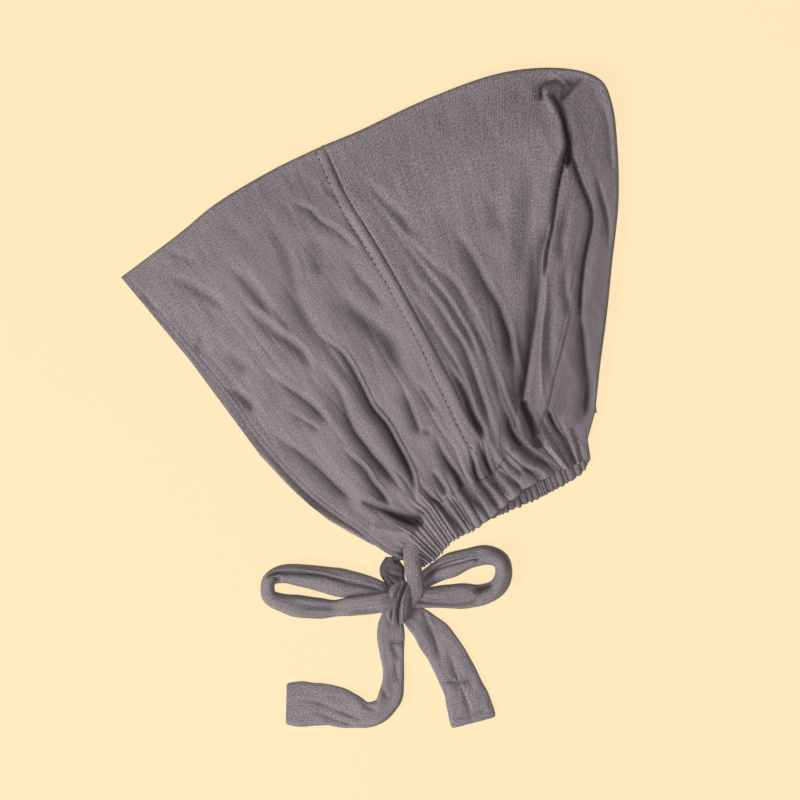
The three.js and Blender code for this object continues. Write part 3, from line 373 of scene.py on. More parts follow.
# Stations of the two rolled stems. Columns: along the straight line from the casing's end to the knot
# and aside from it as shares of its length, foot as a share of the neck's loft, width and height as
# shares of the stem's.
STEM_NEAR: Stations = (
    (0.00, 0.05, 0.29, 1.04, 0.95), (0.25, 0.09, 0.42, 1.06, 1.0), (0.50, 0.16, 0.49, 1.0, 1.0),
    (0.78, 0.25, 0.49, 0.8, 1.0), (0.98, 0.22, 0.42, 0.5, 0.9),
)
STEM_FAR: Stations = (
    (-0.18, 0.06, 0.03, 0.7, 0.6), (0.14, -0.04, 0.03, 1.55, 1.0), (0.40, -0.05, 0.10, 1.35, 0.9),
    (0.70, 0.02, 0.30, 0.8, 0.8),
)
KNOT_MIDDLE = (558.0, 1072.0)
STEM_NEAR_START = (578.0, 950.0)
STEM_FAR_START = (543.0, 994.0)
STEM_FAR_AIM = (0.020, -0.020)


def smooth(value: np.ndarray | float) -> np.ndarray:
    """Return a hermite step from 0 to 1."""
    x = np.clip(value, 0.0, 1.0)
    return x * x * (3.0 - 2.0 * x)


def arc(value: np.ndarray | float) -> np.ndarray:
    """Return a quarter circle that rises from 0 at 0 to 1 at 1 and stays there."""
    return np.sqrt(1.0 - (1.0 - np.clip(value, 0.0, 1.0)) ** 2)


def bell(distance: np.ndarray, reach: np.ndarray | float, power: float = 2.0) -> np.ndarray:
    """Return a bell that is 1 at a distance of 0 and falls off over its reach."""
    return np.exp(-((np.abs(distance) / reach) ** power))


def lifted(plan: np.ndarray, height: np.ndarray) -> np.ndarray:
    """Return plan points with their heights as the third coordinate."""
    return np.concatenate([plan, height[..., None]], axis=-1)


def noise(points: np.ndarray, cell: float, seed: int) -> np.ndarray:
    """Work out smooth noise from -1 to 1 over a plane.

    Args:
        points: plan points, with their coordinates on the last axis.
        cell: size of the noise's lattice, in the points' unit.
        seed: number that picks the lattice.

    Returns:
        One value for each point.
    """
    lattice = np.random.default_rng(seed).uniform(-1.0, 1.0, (LATTICE, LATTICE))
    scaled = points / cell + LATTICE / 2
    low = np.floor(scaled).astype(int)
    part = smooth(scaled - low)
    x0, y0 = low[..., 0] % LATTICE, low[..., 1] % LATTICE
    x1, y1 = (x0 + 1) % LATTICE, (y0 + 1) % LATTICE
    left = lattice[x0, y0] * (1 - part[..., 1]) + lattice[x0, y1] * part[..., 1]
    right = lattice[x1, y0] * (1 - part[..., 1]) + lattice[x1, y1] * part[..., 1]
    return left * (1 - part[..., 0]) + right * part[..., 0]


def nearest(chain: np.ndarray, points: np.ndarray) -> tuple[np.ndarray, np.ndarray, np.ndarray]:
    """Find the nearest place on a chain for each point.

    Args:
        chain: points of the chain, one a row.
        points: plan points, with their coordinates on the last axis.

    Returns:
        Distance, share of the chain's length, and side, positive on the right of its direction.
    """
    layout, points = points.shape[:-1], points.reshape(-1, 2)
    best = np.full(len(points), np.inf)
    share = np.zeros(len(points))
    side = np.ones(len(points))
    last = len(chain) - 1
    for i in range(last):
        run = chain[i + 1] - chain[i]
        t = np.clip(((points - chain[i]) @ run) / (run @ run), 0.0, 1.0)
        off = points - chain[i] - t[:, None] * run
        squared = np.einsum("ij,ij->i", off, off)
        closer = squared < best
        best = np.where(closer, squared, best)
        share = np.where(closer, (i + t) / last, share)
        side = np.where(closer, np.sign(off[:, 0] * run[1] - off[:, 1] * run[0]), side)
    return np.sqrt(best).reshape(layout), share.reshape(layout), side.reshape(layout)


class Curve:
    """A smooth curve through given points, read by its share of the length."""

    def __init__(self, points: np.ndarray, steps: int = 24) -> None:
        """Sample the curve.

        Args:
            points: the points that it passes through, one a row.
            steps: samples between two of them.
        """
        p = np.asarray(points, float)
        ends = np.vstack([2 * p[0] - p[1], p, 2 * p[-1] - p[-2]])
        gaps = np.maximum(np.sqrt(np.linalg.norm(np.diff(ends, axis=0), axis=1)), 1e-9)
        t = np.linspace(0.0, 1.0, steps, endpoint=False)[:, None]
        runs = []
        for i in range(len(p) - 1):
            a, b, c, d = ends[i:i + 4]
            g0, g1, g2 = gaps[i:i + 3]
            m0 = ((b - a) / g0 - (c - a) / (g0 + g1) + (c - b) / g1) * g1
            m1 = ((c - b) / g1 - (d - b) / (g1 + g2) + (d - c) / g2) * g1
            runs.append(b + m0 * t + (3 * (c - b) - 2 * m0 - m1) * t**2 + (2 * (b - c) + m0 + m1) * t**3)
        self.dense = np.vstack([*runs, p[-1:]])
        run = np.linalg.norm(np.diff(self.dense, axis=0), axis=1)
        self.reach = np.concatenate([[0.0], np.cumsum(run)])

    @property
    def length(self) -> float:
        """Length of the curve."""
        return float(self.reach[-1])

    def at(self, shares: np.ndarray) -> np.ndarray:
        """Return the points at shares of the length."""
        where = np.asarray(shares) * self.reach[-1]
        return np.stack([np.interp(where, self.reach, column) for column in self.dense.T], axis=-1)

    def chain(self, count: int) -> np.ndarray:
        """Return evenly spaced points."""
        return self.at(np.linspace(0.0, 1.0, count))


@dataclass
class Plan:
    """Places on the folded cap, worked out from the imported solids.

    The shares say where the solids' box lies against the tables: how far in the face corner is, how
    far out the back fold reaches and how far down the hem does.
    """

    face_share: float = 0.001
    back_share: float = 0.9985
    hem_share: float = 1.001
    origin: np.ndarray = field(init=False)
    size: np.ndarray = field(init=False)

    def __post_init__(self) -> None:
        """Read the boxes of the panels and of the casing."""
        front_low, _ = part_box("front_panel")
        _, crown_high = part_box("crown_panel")
        casing_low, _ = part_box("neck_casing")
        length = (crown_high[0] - front_low[0]) / (self.back_share - self.face_share)
        height = (crown_high[1] - casing_low[1]) / self.hem_share
        self.origin = np.array([front_low[0] - self.face_share * length, crown_high[1]])
        self.size = np.array([length, -height])

    def place(self, route: Sequence[Sequence[float]]) -> np.ndarray:
        """Turn thousandths of the cap into plan points."""
        return self.origin + np.asarray(route, float) * THOUSANDTH * self.size

    def curve(self, *routes: Route) -> Curve:
        """Make one smooth curve through routes that follow each other, end to start."""
        points = [*routes[0], *(point for route in routes[1:] for point in route[1:])]
        return Curve(self.place(points))


@dataclass
class CreaseField:
    """Works out how deep a list of creases presses into the cloth at plan points.

    Reaches are in a crease's own width: how far it is felt, and how wide its shallow basin is.
    """

    plan: Plan
    creases: tuple[Crease, ...]
    join: float = 3.0
    steps: int = 40
    sight: float = 7.0
    strength: float = 1.5
    basin_share: float = 0.34
    basin_reach: float = 3.0
    lip_at: float = 2.0

    def press(self, points: np.ndarray) -> tuple[np.ndarray, np.ndarray]:
        """Work out the creases at plan points.

        Args:
            points: plan points, with their coordinates on the last axis.

        Returns:
            Depth of the furrows and height of the lips and ridges, both in metres and 0 or more.
        """
        layout, points = points.shape[:-1], points.reshape(-1, 2)
        furrow = np.zeros(len(points))
        ridge = np.zeros(len(points))
        for crease in self.creases:
            chain = self.plan.curve(crease.route).chain(self.steps)
            reach = self.sight * max(crease.right, crease.left) * MM
            low, high = chain.min(axis=0) - reach, chain.max(axis=0) + reach
            near = np.flatnonzero(np.all((points >= low) & (points <= high), axis=1))
            if not len(near):
                continue
            distance, share, side = nearest(chain, points[near])
            width = np.where(side > 0, crease.right, crease.left) * MM
            power, fade_in, fade_out = crease.shape.value
            fade = smooth(share / fade_in) * smooth((1 - share) / fade_out)
            depth = (crease.start + (crease.end - crease.start) * share) * fade * self.strength * MM
            fall = (1 - self.basin_share) * bell(distance, width, power)
            fall = fall + self.basin_share * bell(distance, self.basin_reach * width)
            lip = crease.lip * np.abs(depth) * bell(distance - self.lip_at * width, width) * (side < 0)
            joined = furrow[near] ** self.join + np.maximum(depth * fall, 0) ** self.join
            furrow[near] = joined ** (1 / self.join)
            ridge[near] = ridge[near] + np.maximum(-depth * fall, 0) + lip
        return furrow.reshape(layout), ridge.reshape(layout)


@dataclass
class Gathers:
    """The gathers of a neck line: puffs between sharp valleys, fine in front and coarse at the back.

    Pitches and rises are in metres and turn from the front value to the back one about a share of the
    gather line.
    """

    line: Curve
    pitch_front: float = 2.8 * MM
    pitch_back: float = 8.0 * MM
    rise_front: float = 2.3 * MM
    rise_back: float = 2.8 * MM
    turn: float = 0.36
    turn_ease: float = 0.2
    spread: float = 0.45
    rise_least: float = 0.45
    rise_most: float = 1.3
    roundness: float = 0.75
    drag_least: float = 0.35
    seed: int = 21
    valleys: np.ndarray = field(init=False)
    rises: np.ndarray = field(init=False)

    def __post_init__(self) -> None:
        """Place the valleys along the line."""
        rng = np.random.default_rng(self.seed)
        low, high = 1 - self.spread, 1 + self.spread
        places, rises = [0.0], []
        while places[-1] < 1.0:
            back = float(smooth((places[-1] - self.turn) / self.turn_ease + 0.5))
            pitch = self.pitch_front + (self.pitch_back - self.pitch_front) * back
            rise = self.rise_front + (self.rise_back - self.rise_front) * back
            places.append(places[-1] + pitch * rng.uniform(low, high) / self.line.length)
            rises.append(rise * rng.uniform(self.rise_least, self.rise_most))
        self.valleys = np.array(places)
        self.rises = np.array(rises)

    def number(self, share: np.ndarray) -> np.ndarray:
        """Return the number of the gather that lies at each share of the line."""
        return np.clip(np.searchsorted(self.valleys, share, side="right") - 1, 0, len(self.rises) - 1)

    def puff(self, share: np.ndarray) -> np.ndarray:
        """Work out how the puffs rise over their valleys.

        Args:
            share: shares of the line.

        Returns:
            One height for each share, in metres.
        """
        k = self.number(share)
        t = (share - self.valleys[k]) / (self.valleys[k + 1] - self.valleys[k])
        return self.rises[k] * np.sin(np.pi * np.clip(t, 0.0, 1.0)) ** self.roundness

    def drag(self, share: np.ndarray) -> np.ndarray:
        """Return how far each gather reaches up into the panels, from 0 to 1."""
        reaches = np.random.default_rng(self.seed + 1).uniform(0, 1, len(self.rises))
        return self.drag_least + (1 - self.drag_least) * reaches[self.number(share)]


@dataclass
class Drape:
    """How the folded cap lies: the heights of its near layer and of its far layer.

    A swell is its height in mm, the cell of its noise and the seed. A fold of the drag is how often it
    comes across and down a panel, its height, the power of its sides and the seed.
    """

    plan: Plan
    jersey: float = 1.2 * MM
    loft: float = 15.5 * MM
    mouth_loft: float = 9.6 * MM
    neck_loft: float = 12.6 * MM
    nape_loft: float = 8.2 * MM
    mouth_reach: float = 43 * MM
    neck_reach: float = 31 * MM
    nape_ease: float = 28 * MM
    fold_height: float = 3.2 * MM
    fold_reach: float = 2.3 * MM
    fold_ease: float = 45 * MM
    fold_round: float = 0.24
    swells: tuple[tuple[float, float, int], ...] = ((0.55, 24 * MM, 3), (0.28, 10 * MM, 4))
    slanted_swell: tuple[float, float, int] = (0.22, 4.5 * MM, 5)
    slant: float = 0.5
    slant_squeeze: float = 0.28
    crease_start: float = 7 * MM
    clearance: float = 1.0 * MM
    least_room: float = 0.4 * MM
    sharp: float = 1.2
    drag_reach: float = 13 * MM
    drag_front: float = 0.25
    drag_height: float = 2.6 * MM
    drag_narrows: float = 0.45
    drag_start: float = 0.06
    drag_ease: float = 0.40
    drag_mean: float = 0.42
    broad_fold: tuple[float, float, float, float, int] = (1.0, 2.4, 1.0, 0.75, 11)
    fine_fold: tuple[float, float, float, float, int] = (0.42, 3.2, 0.34, 0.8, 12)
    calm: float = 0.35
    calm_cell: float = 5 * MM
    calm_stretch: float = 0.35
    calm_seed: int = 41
    puff_mean: float = 0.4
    hem_width: float = 3.0 * MM
    hem_dip: float = 0.3 * MM
    hem_reach: float = 0.6 * MM
    tuck_depth: float = 1.5 * MM
    tuck_early: float = 0.3 * MM
    tuck_ease: float = 0.7 * MM
    neck_room: float = 3.0 * MM
    neck_ease: float = 0.6
    # Painted shade: the creases' shade grows by this share near the neck line, over this reach
    neck_shade: float = 0.7
    neck_shade_reach: float = 18 * MM
    welt_rise: float = 0.5 * MM
    welt_at: float = 2.6 * MM
    welt_reach: float = 2.4 * MM
    seam_dip: float = 0.9 * MM
    seam_reach: float = 0.9 * MM
    stitch_dip: float = 0.35 * MM
    stitch_reach: float = 0.8 * MM
    fold_line: np.ndarray = field(init=False)
    face_line: np.ndarray = field(init=False)
    neck_line: np.ndarray = field(init=False)
    nape_line: np.ndarray = field(init=False)
    seam_line: np.ndarray = field(init=False)
    stitch_line: np.ndarray = field(init=False)
    gathers: Gathers = field(init=False)
    fold_steps: int = 176
    neck_steps: int = 90
    line_steps: int = 80

    def __post_init__(self) -> None:
        """Make the lines that the heights are worked out from."""
        plan = self.plan
        self.fold_line = plan.curve(CROWN_FOLD_FRONT, CROWN_FOLD_BACK, NAPE_SIDE).chain(self.fold_steps)
        self.face_line, self.seam_line, self.stitch_line = (
            plan.curve(route).chain(self.line_steps) for route in (FACE_EDGE_NEAR, SEAM, STITCH_ROW))
        neck = plan.curve(GATHER_LINE_FRONT, GATHER_LINE_BACK)
        self.neck_line = neck.chain(self.neck_steps)
        self.nape_line = plan.place((NAPE_SIDE[-1], HEM_NEAR[-1]))
        self.gathers = Gathers(neck)

    def plain(self, points: np.ndarray) -> np.ndarray:
        """Work out the near layer's height without creases, away from the crown fold.

        Args:
            points: plan points, with their coordinates on the last axis.

        Returns:
            One height for each point.
        """
        face = (self.loft - self.mouth_loft) * bell(nearest(self.face_line, points)[0], self.mouth_reach)
        neck = (self.loft - self.neck_loft) * bell(nearest(self.neck_line, points)[0], self.neck_reach)
        nape = (self.neck_loft - self.nape_loft) * bell(nearest(self.nape_line, points)[0], self.nape_ease)
        return np.maximum(self.loft - np.hypot(face, neck) - nape, self.nape_loft)

    def swell(self, points: np.ndarray) -> np.ndarray:
        """Work out the slow rise and fall of cloth that nobody has pressed.

        Args:
            points: plan points, with their coordinates on the last axis.

        Returns:
            One height for each point.
        """
        x, y = points[..., 0], points[..., 1]
        total = sum(height * noise(points, cell, seed) for height, cell, seed in self.swells)
        slanted = np.stack([x + self.slant * y, self.slant_squeeze * (y - self.slant * x)], axis=-1)
        height, cell, seed = self.slanted_swell
        return (total + height * noise(slanted, cell, seed)) * MM

    def drag_folds(self, strands: np.ndarray) -> np.ndarray:
        """Return the height of the folds that the gathers pull into a panel.

        Args:
            strands: for each point its place across the panel in folds, its place down it from 0
                to 1, and how strongly it is pulled.

        Returns:
            One height for each point, round on top and sharp in the valleys.
        """
        across, down = strands[..., 0], strands[..., 1]
        pull = smooth((down - self.drag_start) / self.drag_ease)
        pull = pull * (1 - self.drag_narrows * down) * strands[..., 2]
        height = np.zeros(down.shape)
        for width, often, rise, power, seed in (self.broad_fold, self.fine_fold):
            ripple = noise(np.stack([across / width, down * often], axis=-1), 1.0, seed)
            height = height + rise * (np.abs(ripple) ** power - self.drag_mean)
        return self.drag_height * pull * height

    def near(
        self, points: np.ndarray, creases: CreaseField, strands: np.ndarray | None = None,
        under: float = 0.0, band_shares: np.ndarray | None = None,
    ) -> tuple[np.ndarray, np.ndarray]:
        """Work out the near layer's outside.

        Args:
            points: plan points, with their coordinates on the last axis.
            creases: the creases of the panel.
            strands: their places across and down the panel, where it has drag folds.
            under: side of the seam, 1 or -1, on which this panel passes under the other.
            band_shares: for points on the casing the shares of the gather line that they hang from.

        Returns:
            Height, and the painted shade as a depth: the creases' depth, raised near the neck, plus the
                tucks; both in metres.
        """
        edge = nearest(self.fold_line, points)[0]
        rise = self.fold_round * arc(edge / self.fold_reach)
        rise = rise + (1 - self.fold_round) * smooth(edge / self.fold_ease)
        base = self.fold_height + (self.plain(points) - self.fold_height) * rise
        furrow, ridge = creases.press(points)
        seam, _, seam_side = nearest(self.seam_line, points)
        stitch = nearest(self.stitch_line, points)[0]
        hem = nearest(self.face_line, points)[0]
        ridge = ridge + self.welt_rise * bell(seam - self.welt_at, self.welt_reach) * (seam_side > 0)
        furrow = furrow + self.seam_dip * bell(seam, self.seam_reach, self.sharp)
        furrow = furrow + self.stitch_dip * bell(stitch, self.stitch_reach)
        furrow = furrow + self.hem_dip * bell(hem - self.hem_width, self.hem_reach)

        neck, share, neck_side = nearest(self.neck_line, points)
        on_band = neck_side > 0
        if band_shares is not None:
            share = band_shares
        front = self.drag_front + (1 - self.drag_front) * smooth(share / self.drag_front)
        spread = np.where(on_band, 1.0, bell(
            neck, self.drag_reach * self.gathers.drag(share) * front, self.sharp))
        woven = np.stack([
            share * self.gathers.line.length, self.calm_stretch * neck * neck_side], axis=-1)
        stir = 0.5 + 0.5 * noise(woven, self.calm_cell, self.calm_seed)
        puff = self.gathers.puff(share) * spread * (self.calm + (1 - self.calm) * stir)
        mean = self.puff_mean * self.gathers.rise_front * spread
        fade = smooth(edge / self.crease_start)
        lift = (ridge + self.swell(points) + puff - mean) * fade
        if strands is not None:
            lift = lift + self.drag_folds(strands) * fade

        room = np.maximum(base + lift - 2 * self.jersey - self.clearance, self.least_room)
        room = np.minimum(room, self.neck_room + self.neck_ease * np.where(on_band, 0.0, neck))
        pressed = furrow * fade
        furrow = room * np.tanh(pressed / room)
        tuck = np.zeros(seam.shape)
        if under:
            beyond = np.where(seam_side * under > 0, seam, -seam)
            tuck = self.tuck_depth * smooth((beyond + self.tuck_early) / self.tuck_ease)
        if band_shares is None:
            tuck = tuck + self.tuck_depth * smooth(np.where(on_band, neck, 0.0) / self.tuck_ease)
        # Painted shade: the crease depth, raised near the neck line, plus the tucks, darkens the colour in
        # the shader
        shade_boost = 1 + self.neck_shade * bell(neck, self.neck_shade_reach)
        return base + lift - furrow - tuck * fade, shade_boost * np.maximum(pressed, furrow) + tuck

    def far(self, points: np.ndarray) -> np.ndarray:
        """Return the far layer's underside."""
        edge = nearest(self.fold_line, points)[0]
        return self.fold_height * (1 - arc(edge / self.fold_reach))


@dataclass
class Cloth:
    """Points, faces, texture places and amounts of painted shade of one piece of cloth."""

    points: list[np.ndarray] = field(default_factory=list)
    faces: list[tuple[int, ...]] = field(default_factory=list)
    places: list[np.ndarray] = field(default_factory=list)
    painted_shades: list[np.ndarray] = field(default_factory=list)
    count: int = 0
    sharp_angle: float = math.radians(62)

    def add(self, points: np.ndarray, places: np.ndarray, painted_shades: np.ndarray | float) -> np.ndarray:
        """Add a grid of points.

        Args:
            points: the points, with their coordinates on the last axis.
            places: texture places of the same layout, in metres along the cloth.
            painted_shades: how much shade is painted into each point's colour, as a depth in metres.

        Returns:
            The numbers of the points, in their layout.
        """
        shape = points.shape[:-1]
        self.points.append(points.reshape(-1, 3))
        self.places.append(places.reshape(-1, 2))
        self.painted_shades.append(np.broadcast_to(painted_shades, shape).reshape(-1))
        number = np.arange(self.count, self.count + int(np.prod(shape))).reshape(shape)
        self.count += number.size
        return number

    def quads(self, number: np.ndarray, flip: bool = False) -> None:
        """Join a grid of numbered points with four-sided faces.

        Args:
            number: the numbers.
            flip: whether the faces look the other way.
        """
        a, b, c, d = number[:-1, :-1], number[1:, :-1], number[1:, 1:], number[:-1, 1:]
        order = (a, d, c, b) if flip else (a, b, c, d)
        self.faces += np.stack([x.ravel() for x in order], axis=1).tolist()

    def shell(
        self, outer: np.ndarray, inner: np.ndarray, painted_shade: np.ndarray, inside_painted_shade: np.ndarray,
        stride: int = 1,
    ) -> Cloth:
        """Add a closed sheet with a fine outside and an inside that may be coarser.

        Args:
            outer: the outside's grid; its rows and columns less one are multiples of the stride.
            inner: the inside's grid.
            painted_shade: painted shade of the outside, as depths in metres.
            inside_painted_shade: painted shade of the inside, as depths in metres.
            stride: how many of the outside's steps one of the inside's covers.

        Returns:
            This cloth.
        """
        places = texture_places(outer)
        a = self.add(outer, places, painted_shade)
        b = self.add(inner, places[::stride, ::stride], inside_painted_shade)
        self.quads(a)
        self.quads(b, flip=True)
        for fine, coarse in (
            (a[::-1, 0], b[::-1, 0]), (a[:, -1], b[:, -1]), (a[0], b[0]), (a[-1, ::-1], b[-1, ::-1]),
        ):
            for k in range(len(coarse) - 1):
                self.faces.append((*fine[k * stride:(k + 1) * stride + 1], coarse[k + 1], coarse[k]))
        return self

    def tube(self, rings: np.ndarray, places: np.ndarray, painted_shade: np.ndarray | float) -> Cloth:
        """Add rings of points that close to a tube with two ends.

        Args:
            rings: the rings, one after the other.
            places: texture places of the same layout.
            painted_shade: painted shade of the same layout, as depths in metres.

        Returns:
            This cloth.
        """
        number = self.add(rings, places, painted_shade)
        self.quads(np.concatenate([number, number[:, :1]], axis=1))
        self.faces.append(tuple(number[0][::-1].tolist()))
        self.faces.append(tuple(number[-1].tolist()))
        return self

    def build(self, name: str, material: bpy.types.Material) -> bpy.types.Object:
        """Make the object.

        Args:
            name: name of the piece.
            material: its finish.

        Returns:
            The object, linked to the scene.
        """
        mesh = bpy.data.meshes.new(name)
        mesh.from_pydata(np.vstack(self.points).tolist(), [], self.faces)
        corner = np.empty(len(mesh.loops), int)
        mesh.loops.foreach_get("vertex_index", corner)
        layer = mesh.uv_layers.new(name=UV_NAME)
        layer.data.foreach_set("uv", np.vstack(self.places)[corner].astype(np.float32).ravel())
        # The amounts of painted shade go to the shader as a point attribute, in mm
        painted_shade = mesh.attributes.new(PAINTED_SHADE_NAME, "FLOAT", "POINT")
        painted_shade.data.foreach_set("value", (np.concatenate(self.painted_shades) / MM).astype(np.float32))
        mesh.shade_smooth()
        mesh.set_sharp_from_angle(angle=self.sharp_angle)
        mesh.materials.append(material)
        mesh.update()
        made = bpy.data.objects.new(name, mesh)
        bpy.context.scene.collection.objects.link(made)
        return made


def grid_normals(grid: np.ndarray) -> np.ndarray:
    """Return the normals of a grid of points."""
    normal = np.cross(np.gradient(grid, axis=0), np.gradient(grid, axis=1))
    return normal / np.maximum(np.linalg.norm(normal, axis=-1, keepdims=True), 1e-12)


def texture_places(grid: np.ndarray) -> np.ndarray:
    """Work out texture places in metres along the cloth, from a grid's mean spacing both ways.

    Args:
        grid: the grid of points.

    Returns:
        One place for each point.
    """
    runs = []
    for axis in (0, 1):
        steps = np.linalg.norm(np.diff(grid, axis=axis), axis=-1).mean(axis=1 - axis)
        runs.append(np.concatenate([[0.0], np.cumsum(steps)]))
    return np.stack(np.meshgrid(*runs, indexing="ij"), axis=-1)


def put_node(
    tree: bpy.types.NodeTree, kind: str, inputs: dict[int | str, object], **settings: object
) -> bpy.types.Node:
    """Add a node to a tree.

    Args:
        tree: the tree.
        kind: type of the node.
        inputs: for each input a value or the socket that feeds it.
        settings: properties of the node.

    Returns:
        The node.
    """
    node = tree.nodes.new(kind)
    for label, value in settings.items():
        setattr(node, label, value)
    for label, value in inputs.items():
        if isinstance(value, bpy.types.NodeSocket):
            tree.links.new(value, node.inputs[label])
        else:
            node.inputs[label].default_value = value
    return node


class Group:
    """A shader node group that is built once and placed in each material with its own values."""

    def __init__(self, name: str, inputs: dict[str, str], outputs: dict[str, str]) -> None:
        """Make the group with named sockets.

        Args:
            name: name of the group.
            inputs: socket type of each input.
            outputs: socket type of each output.
        """
        self.tree = bpy.data.node_groups.new(name, "ShaderNodeTree")
        for way, sockets in (("INPUT", inputs), ("OUTPUT", outputs)):
            for label, kind in sockets.items():
                self.tree.interface.new_socket(label, in_out=way, socket_type=kind)
        self.given = self.tree.nodes.new("NodeGroupInput").outputs
        self.result = self.tree.nodes.new("NodeGroupOutput").inputs

    def put(self, kind: str, inputs: dict[int | str, object], **settings: object) -> bpy.types.Node:
        """Add a node to the group and return it."""
        return put_node(self.tree, kind, inputs, **settings)

    def math(self, kind: str, *values: object) -> bpy.types.NodeSocket:
        """Add a math node and return its result."""
        return self.put("ShaderNodeMath", dict(enumerate(values)), operation=kind).outputs[0]

    def scaled(self, vector: bpy.types.NodeSocket, factor: object) -> bpy.types.NodeSocket:
        """Return a vector or colour times a factor."""
        inputs = {0: vector, "Scale": factor}
        return self.put("ShaderNodeVectorMath", inputs, operation="SCALE").outputs[0]


def melange_group() -> Group:
    """Make the uneven colour of yarn: flecks, streaks along the wales and slow clouds.

    Returns:
        The group.
    """
    group = Group(
        "melange", {"Place": VECTOR, "Colour": COLOUR, "Fleck": FLOAT, "Streak": FLOAT, "Cloud": FLOAT},
        {"Colour": COLOUR})
    total = None
    for label, stretch, detail in MELANGE_LAYERS:
        spot = group.put("ShaderNodeMapping", {"Vector": group.given["Place"], "Scale": stretch})
        grain = group.put(
            "ShaderNodeTexNoise",
            {"Vector": spot.outputs[0], "Scale": 1.0, "Detail": detail, "Roughness": 0.6}, normalize=True)
        centred = group.math("SUBTRACT", grain.outputs["Fac"], 0.5)
        layer = group.math("MULTIPLY", centred, group.given[label])
        total = layer if total is None else group.math("ADD", total, layer)
    tinted = group.scaled(group.given["Colour"], group.math("ADD", total, 1.0))
    group.tree.links.new(tinted, group.result["Colour"])
    return group


def knit_group() -> Group:
    """Make the height of the knit: wales, finer courses across them and the fuzz of the yarn.

    Returns:
        The group.
    """
    group = Group(
        "knit", {"Place": VECTOR, "Wale": FLOAT, "Course": FLOAT, "Wave": FLOAT, "Fuzz": FLOAT},
        {"Height": FLOAT})
    place = group.given["Place"]
    bend = group.put("ShaderNodeTexNoise", {"Vector": place, "Scale": BEND_SCALE, "Detail": 1.0})
    bent = group.scaled(bend.outputs["Color"], group.given["Wave"])
    moved = group.put("ShaderNodeVectorMath", {0: place, 1: bent}, operation="ADD")
    axes = group.put("ShaderNodeSeparateXYZ", {0: moved.outputs[0]})
    wale = group.math("ABSOLUTE", group.math("SINE", group.math(
        "MULTIPLY", axes.outputs[0], group.given["Wale"])))
    course = group.math("SINE", group.math("MULTIPLY", axes.outputs[1], group.given["Course"]))
    fuzz = group.put("ShaderNodeTexNoise", {"Vector": place, "Scale": FUZZ_SCALE, "Detail": 2.0})
    height = group.math("ADD", wale, group.math("MULTIPLY", course, COURSE_SHARE))
    height = group.math("ADD", height, group.math("MULTIPLY", fuzz.outputs["Fac"], group.given["Fuzz"]))
    group.tree.links.new(height, group.result["Height"])
    return group


def painted_shade_group() -> Group:
    """Make painted shade inside creases and wherever less light comes in, darker as the given depth grows.

    Returns:
        The group.
    """
    group = Group(
        "crease_shade", {"Colour": COLOUR, "Painted shade": FLOAT, "Shade": FLOAT, "Full": FLOAT},
        {"Colour": COLOUR})
    # Painted shade: the colour is scaled down by up to Shade as the given depth reaches Full
    depth = group.put(
        "ShaderNodeMapRange", {0: group.given["Painted shade"], 1: 0.0, 2: group.given["Full"], 3: 0.0, 4: 1.0},
        interpolation_type="SMOOTHSTEP")
    factor = group.math("SUBTRACT", 1.0, group.math("MULTIPLY", depth.outputs[0], group.given["Shade"]))
    group.tree.links.new(group.scaled(group.given["Colour"], factor), group.result["Colour"])
    return group


@dataclass
class Effects:
    """The node groups that the finishes share."""

    melange: Group = field(default_factory=melange_group)
    knit: Group = field(default_factory=knit_group)
    painted_shade: Group = field(default_factory=painted_shade_group)


def new_material(name: str) -> tuple[bpy.types.Material, bpy.types.Node]:
    """Make a material.

    Args:
        name: name of the material.

    Returns:
        The material and its shader.
    """
    material = bpy.data.materials.new(name)
    material.use_nodes = True
    return material, material.node_tree.nodes["Principled BSDF"]


